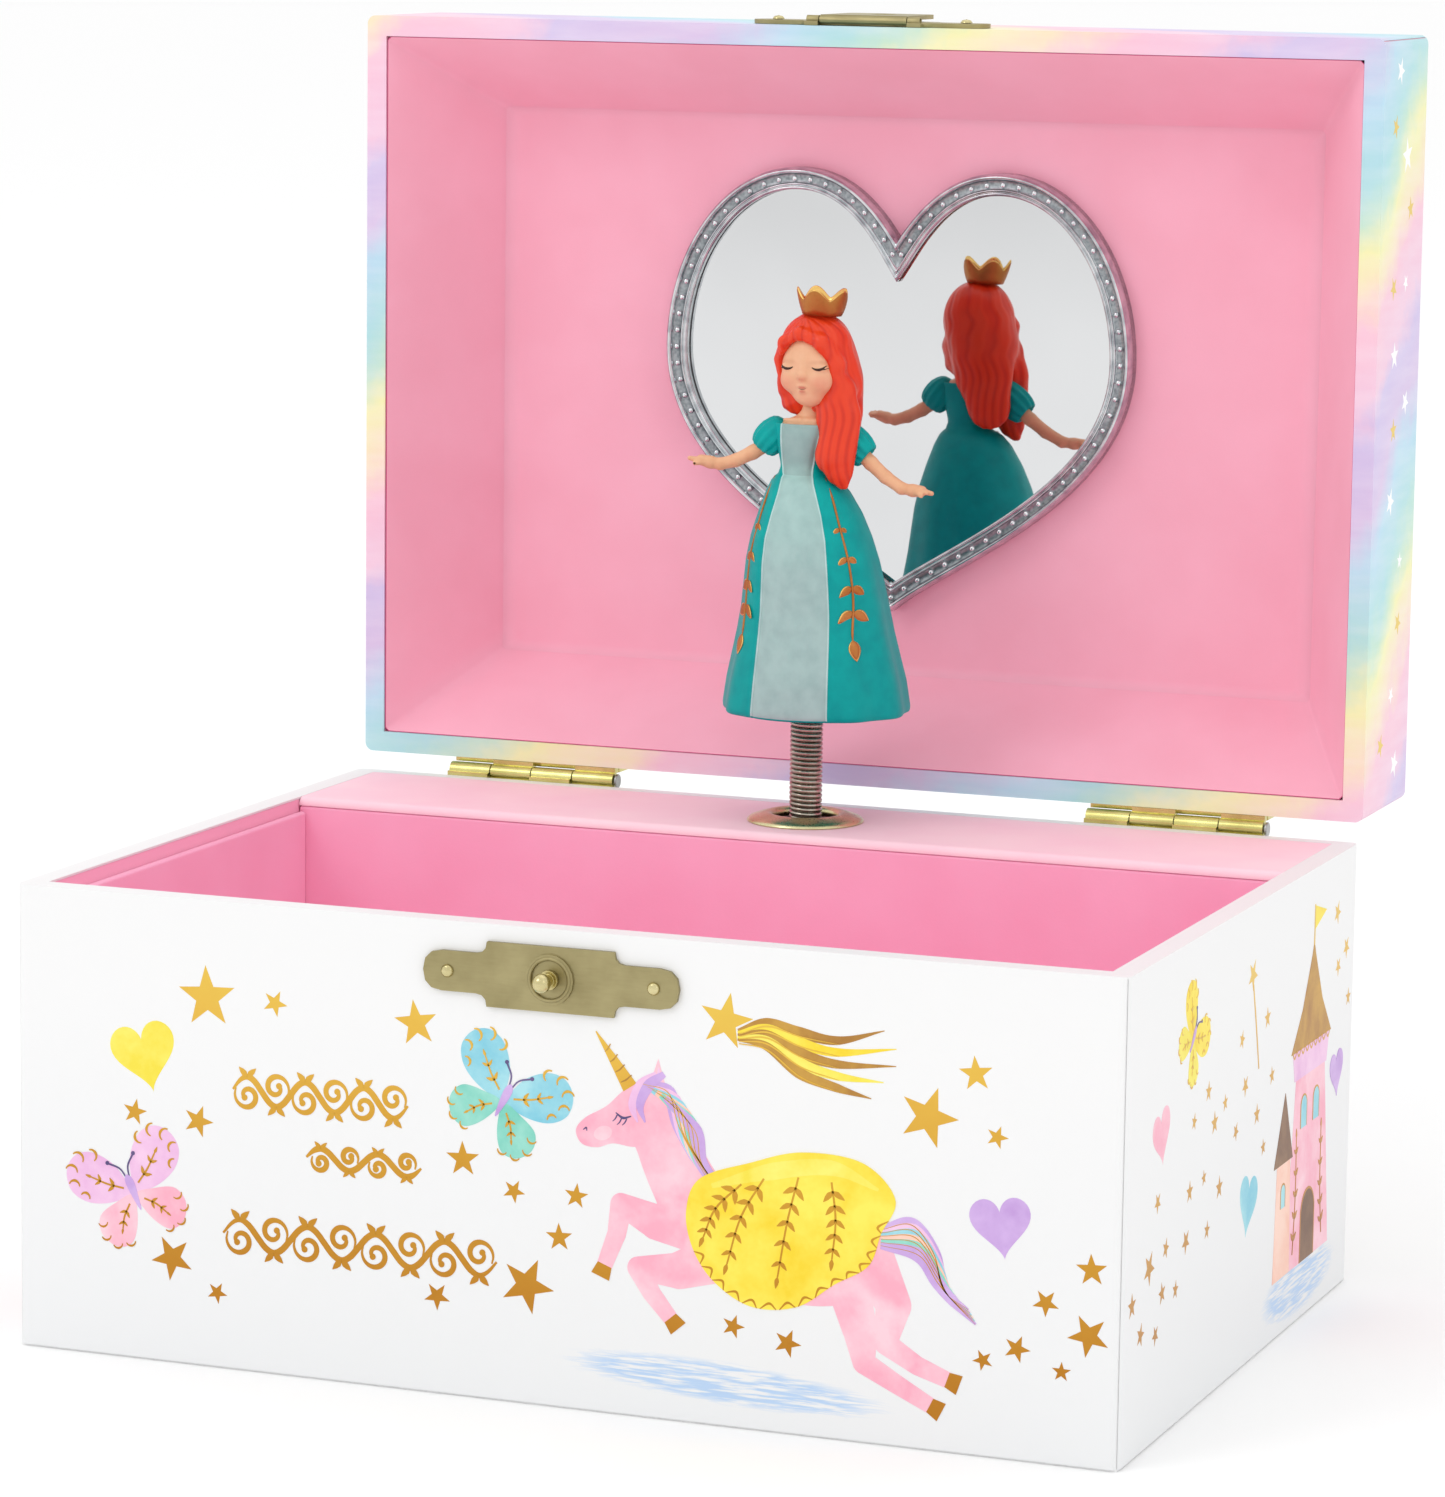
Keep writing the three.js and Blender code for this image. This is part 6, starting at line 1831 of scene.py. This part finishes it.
# Stars as (along the face, height, size across); the side's run from front to back.
FRONT_STARS = [
    (-48.3, 49.2, 8.4), (50.5, 42.4, 8.0), (-3.1, 15.6, 7.6), (-18.7, 48.3, 6.2), (-12.1, 31.2, 4.8),
    (-53.4, 14.1, 6.2), (56.6, 48.4, 4.6), (72.0, 25.2, 4.2), (71.8, 16.9, 5.6), (-38.6, 49.2, 3.6),
    (-58.8, 33.1, 3.6), (-49.6, 32.7, 4.4), (-5.0, 27.7, 3.2), (3.6, 27.9, 3.4), (1.3, 22.3, 3.8),
    (-15.6, 12.9, 3.8), (-46.9, 10.1, 3.0), (59.5, 40.7, 3.0), (66.2, 20.5, 3.6), (62.6, 14.3, 3.6),
    (58.2, 12.4, 2.8), (68.4, 12.0, 2.6), (32.4, 11.8, 3.8), (25.1, 13.2, 3.2), (23.6, 52.2, 7.4)
]
SIDE_STARS = [
    (43.3, 53.9, 3.4), (50.2, 40.9, 2.6), (48.5, 48.2, 3.2), (44.4, 46.2, 2.8), (9.1, 45.5, 3.0),
    (-2.9, 44.8, 2.6), (-17.9, 40.9, 2.8), (-10.1, 37.9, 2.4), (-0.8, 38.3, 3.0), (-24.1, 38.2, 2.4),
    (-14.8, 36.2, 3.2), (-4.8, 33, 2.6), (5.1, 33.3, 3.0), (-39.4, 31, 2.8), (-25.4, 29.4, 3.0),
    (-19.1, 29.9, 2.2), (-11.9, 27.1, 3.2), (-17.1, 22.6, 2.6), (-35.4, 24.3, 2.8), (-26.6, 23.2, 3.4),
    (-42.4, 23.3, 4.6), (-30.7, 17.9, 2.6), (-36.6, 18.8, 3.0), (-49.4, 20.1, 3.4), (-39.1, 14, 2.8),
    (-45.5, 15.5, 3.2), (1.5, 52.6, 4.4), (8.6, 28.2, 2.4), (12.0, 37.2, 2.6)
]
STAR_SUNK = 0.012  # how far a star's back sits in the paper
spots = [(u, FRONT_Y + STAR_SUNK, v, s, 0) for u, v, s in FRONT_STARS]
spots += [(SIDE_X - STAR_SUNK, u, v, s, 1) for u, v, s in SIDE_STARS]
spots += [(-SIDE_X + STAR_SUNK, -u, v, s, 3) for u, v, s in SIDE_STARS]
scatter = np.random.default_rng(5)
back = [
    (-66.0 + 12.2 * i + scatter.uniform(-3, 3), 9.0 + 10.5 * k + scatter.uniform(-2.6, 2.6))
    for i in range(12)
    for k in range(5)
]
HINGE_SPANS = [
    (extent(f"hinge_{s}_base_leaf")[0][0] - 3, extent(f"hinge_{s}_base_leaf")[1][0] + 3)
    for s in ("left", "right")
]
back = [p for p in back if not (p[1] > 46 and any(a < p[0] < b for a, b in HINGE_SPANS)) and abs(p[0]) < 72]
spots += [(u, -FRONT_Y - STAR_SUNK, v, scatter.uniform(2.6, 5.6), 2) for u, v in back]
star_piece("foil_stars", FOIL, "box", "base_paper", spots)

# Stars on the lid's ends, as (y, height) and (y, height, size across).
LID_GOLD = [(62.1, 160.3), (71.4, 148.7), (63.4, 138.1), (65.5, 118.2), (71.2, 90.6), (63.6, 74.1)]
LID_WHITE = [
    (63.9, 167.9, 4), (68.8, 156.1, 5.2), (69.9, 138.5, 2.6), (64.9, 128.6, 4), (71.6, 121.7, 3.6),
    (65, 108.3, 4.2), (71.2, 99.4, 2.6), (68.6, 80.7, 2.6), (71.6, 70.5, 4.2)
]
back = [
    (-66.0 + 13.2 * i + scatter.uniform(-4, 4), 72.0 + 13.0 * k + scatter.uniform(-4, 4), (i + k) % 2)
    for i in range(11)
    for k in range(8)
]
gold = [(w * (SIDE_X - STAR_SUNK), y, z, 3.4, 1 if w > 0 else 3) for y, z in LID_GOLD for w in (-1, 1)]
gold += [(x, LID_HIGH[1] - STAR_SUNK, z, scatter.uniform(3, 6), 2) for x, z, kind in back if kind == 0]
white = [(w * (SIDE_X - STAR_SUNK), y, z, s, 1 if w > 0 else 3) for y, z, s in LID_WHITE for w in (-1, 1)]
white += [(x, LID_HIGH[1] - STAR_SUNK, z, scatter.uniform(3, 6), 2) for x, z, kind in back if kind == 1]
star_piece("lid_foil_stars", FOIL, "lid", "lid_paper", gold)
star_piece("lid_white_stars", WHITE_INK, "lid", "lid_paper", white)

# ---------------------------------------------------------------- floor, light and camera


def studio():
    """A plain pale floor that runs far behind the box, and soft light from above and both sides."""
    floor_mesh = bpy.data.meshes.new("studio_floor")
    far = 60
    floor_mesh.from_pydata(
        [(-far, -far, 0), (far, -far, 0), (far, far, 0), (-far, far, 0)], [], [(0, 1, 2, 3)]
    )
    floor = shown("studio_floor", floor_mesh)
    material, _, shader, _ = new_finish("studio_paper", 0.9)
    shader.inputs["Base Color"].default_value = linear("#FBFBFB")
    floor_mesh.materials.append(material)

    world = bpy.data.worlds.new("studio")
    world.use_nodes = True
    bpy.context.scene.world = world
    tree = world.node_tree
    up = add(
        tree, "ShaderNodeSeparateXYZ", {0: add(tree, "ShaderNodeTexCoord").outputs["Generated"]}
    ).outputs["Z"]
    height = add(tree, "ShaderNodeMapRange", {0: up, 1: -0.1, 2: 0.9})
    tone = add(
        tree, "ShaderNodeValToRGB", {0: height.outputs[0]},
        [(0.0, "#FAFAFA"), (0.35, "#FCFCFC"), (1.0, "#FFFFFF")]
    )
    tree.links.new(tone.outputs["Color"], tree.nodes["Background"].inputs["Color"])
    tree.nodes["Background"].inputs["Strength"].default_value = WORLD

    for name, spot, size, power in LAMPS:
        lamp = bpy.data.lights.new(name, "AREA")
        lamp.shape, lamp.size, lamp.size_y, lamp.energy = "RECTANGLE", size[0], size[1], power
        holder = shown(name, lamp)
        holder.location = spot
        holder.rotation_euler = (Vector(AIM) - Vector(spot)).to_track_quat("-Z", "Y").to_euler()


WORLD = 1.03  # strength of the surrounding light
AIM = (0, 0, 0.08)  # where the lamps point, in metres
LAMPS = [  # place and size in metres, power in watts
    ("key_softbox", (-0.9, -1.3, 1.5), (0.8, 0.8), 5.0),
    ("fill_softbox", (1.5, -0.9, 0.9), (0.4, 1.0), 0.8),
    ("top_softbox", (0.1, 0.3, 1.9), (1.6, 1.2), 2.0),
]
studio()

AZIMUTH, ELEVATION, ROLL = math.radians(21.1005), math.radians(8.7772), math.radians(0.7349)
CAMERA_SPOT = (0.274514, -0.706137, 0.194544)
lens = bpy.data.cameras.new("camera")
lens.lens, lens.sensor_width, lens.clip_end = 137.41, 36, 200
camera = shown("camera", lens)
turn = Matrix.Rotation(AZIMUTH, 4, "Z") @ Matrix.Rotation(math.pi / 2 - ELEVATION, 4, "X")
camera.matrix_world = Matrix.Translation(CAMERA_SPOT) @ turn @ Matrix.Rotation(ROLL, 4, "Z")
bpy.context.scene.camera = camera
bpy.context.scene.view_settings.view_transform = "Standard"
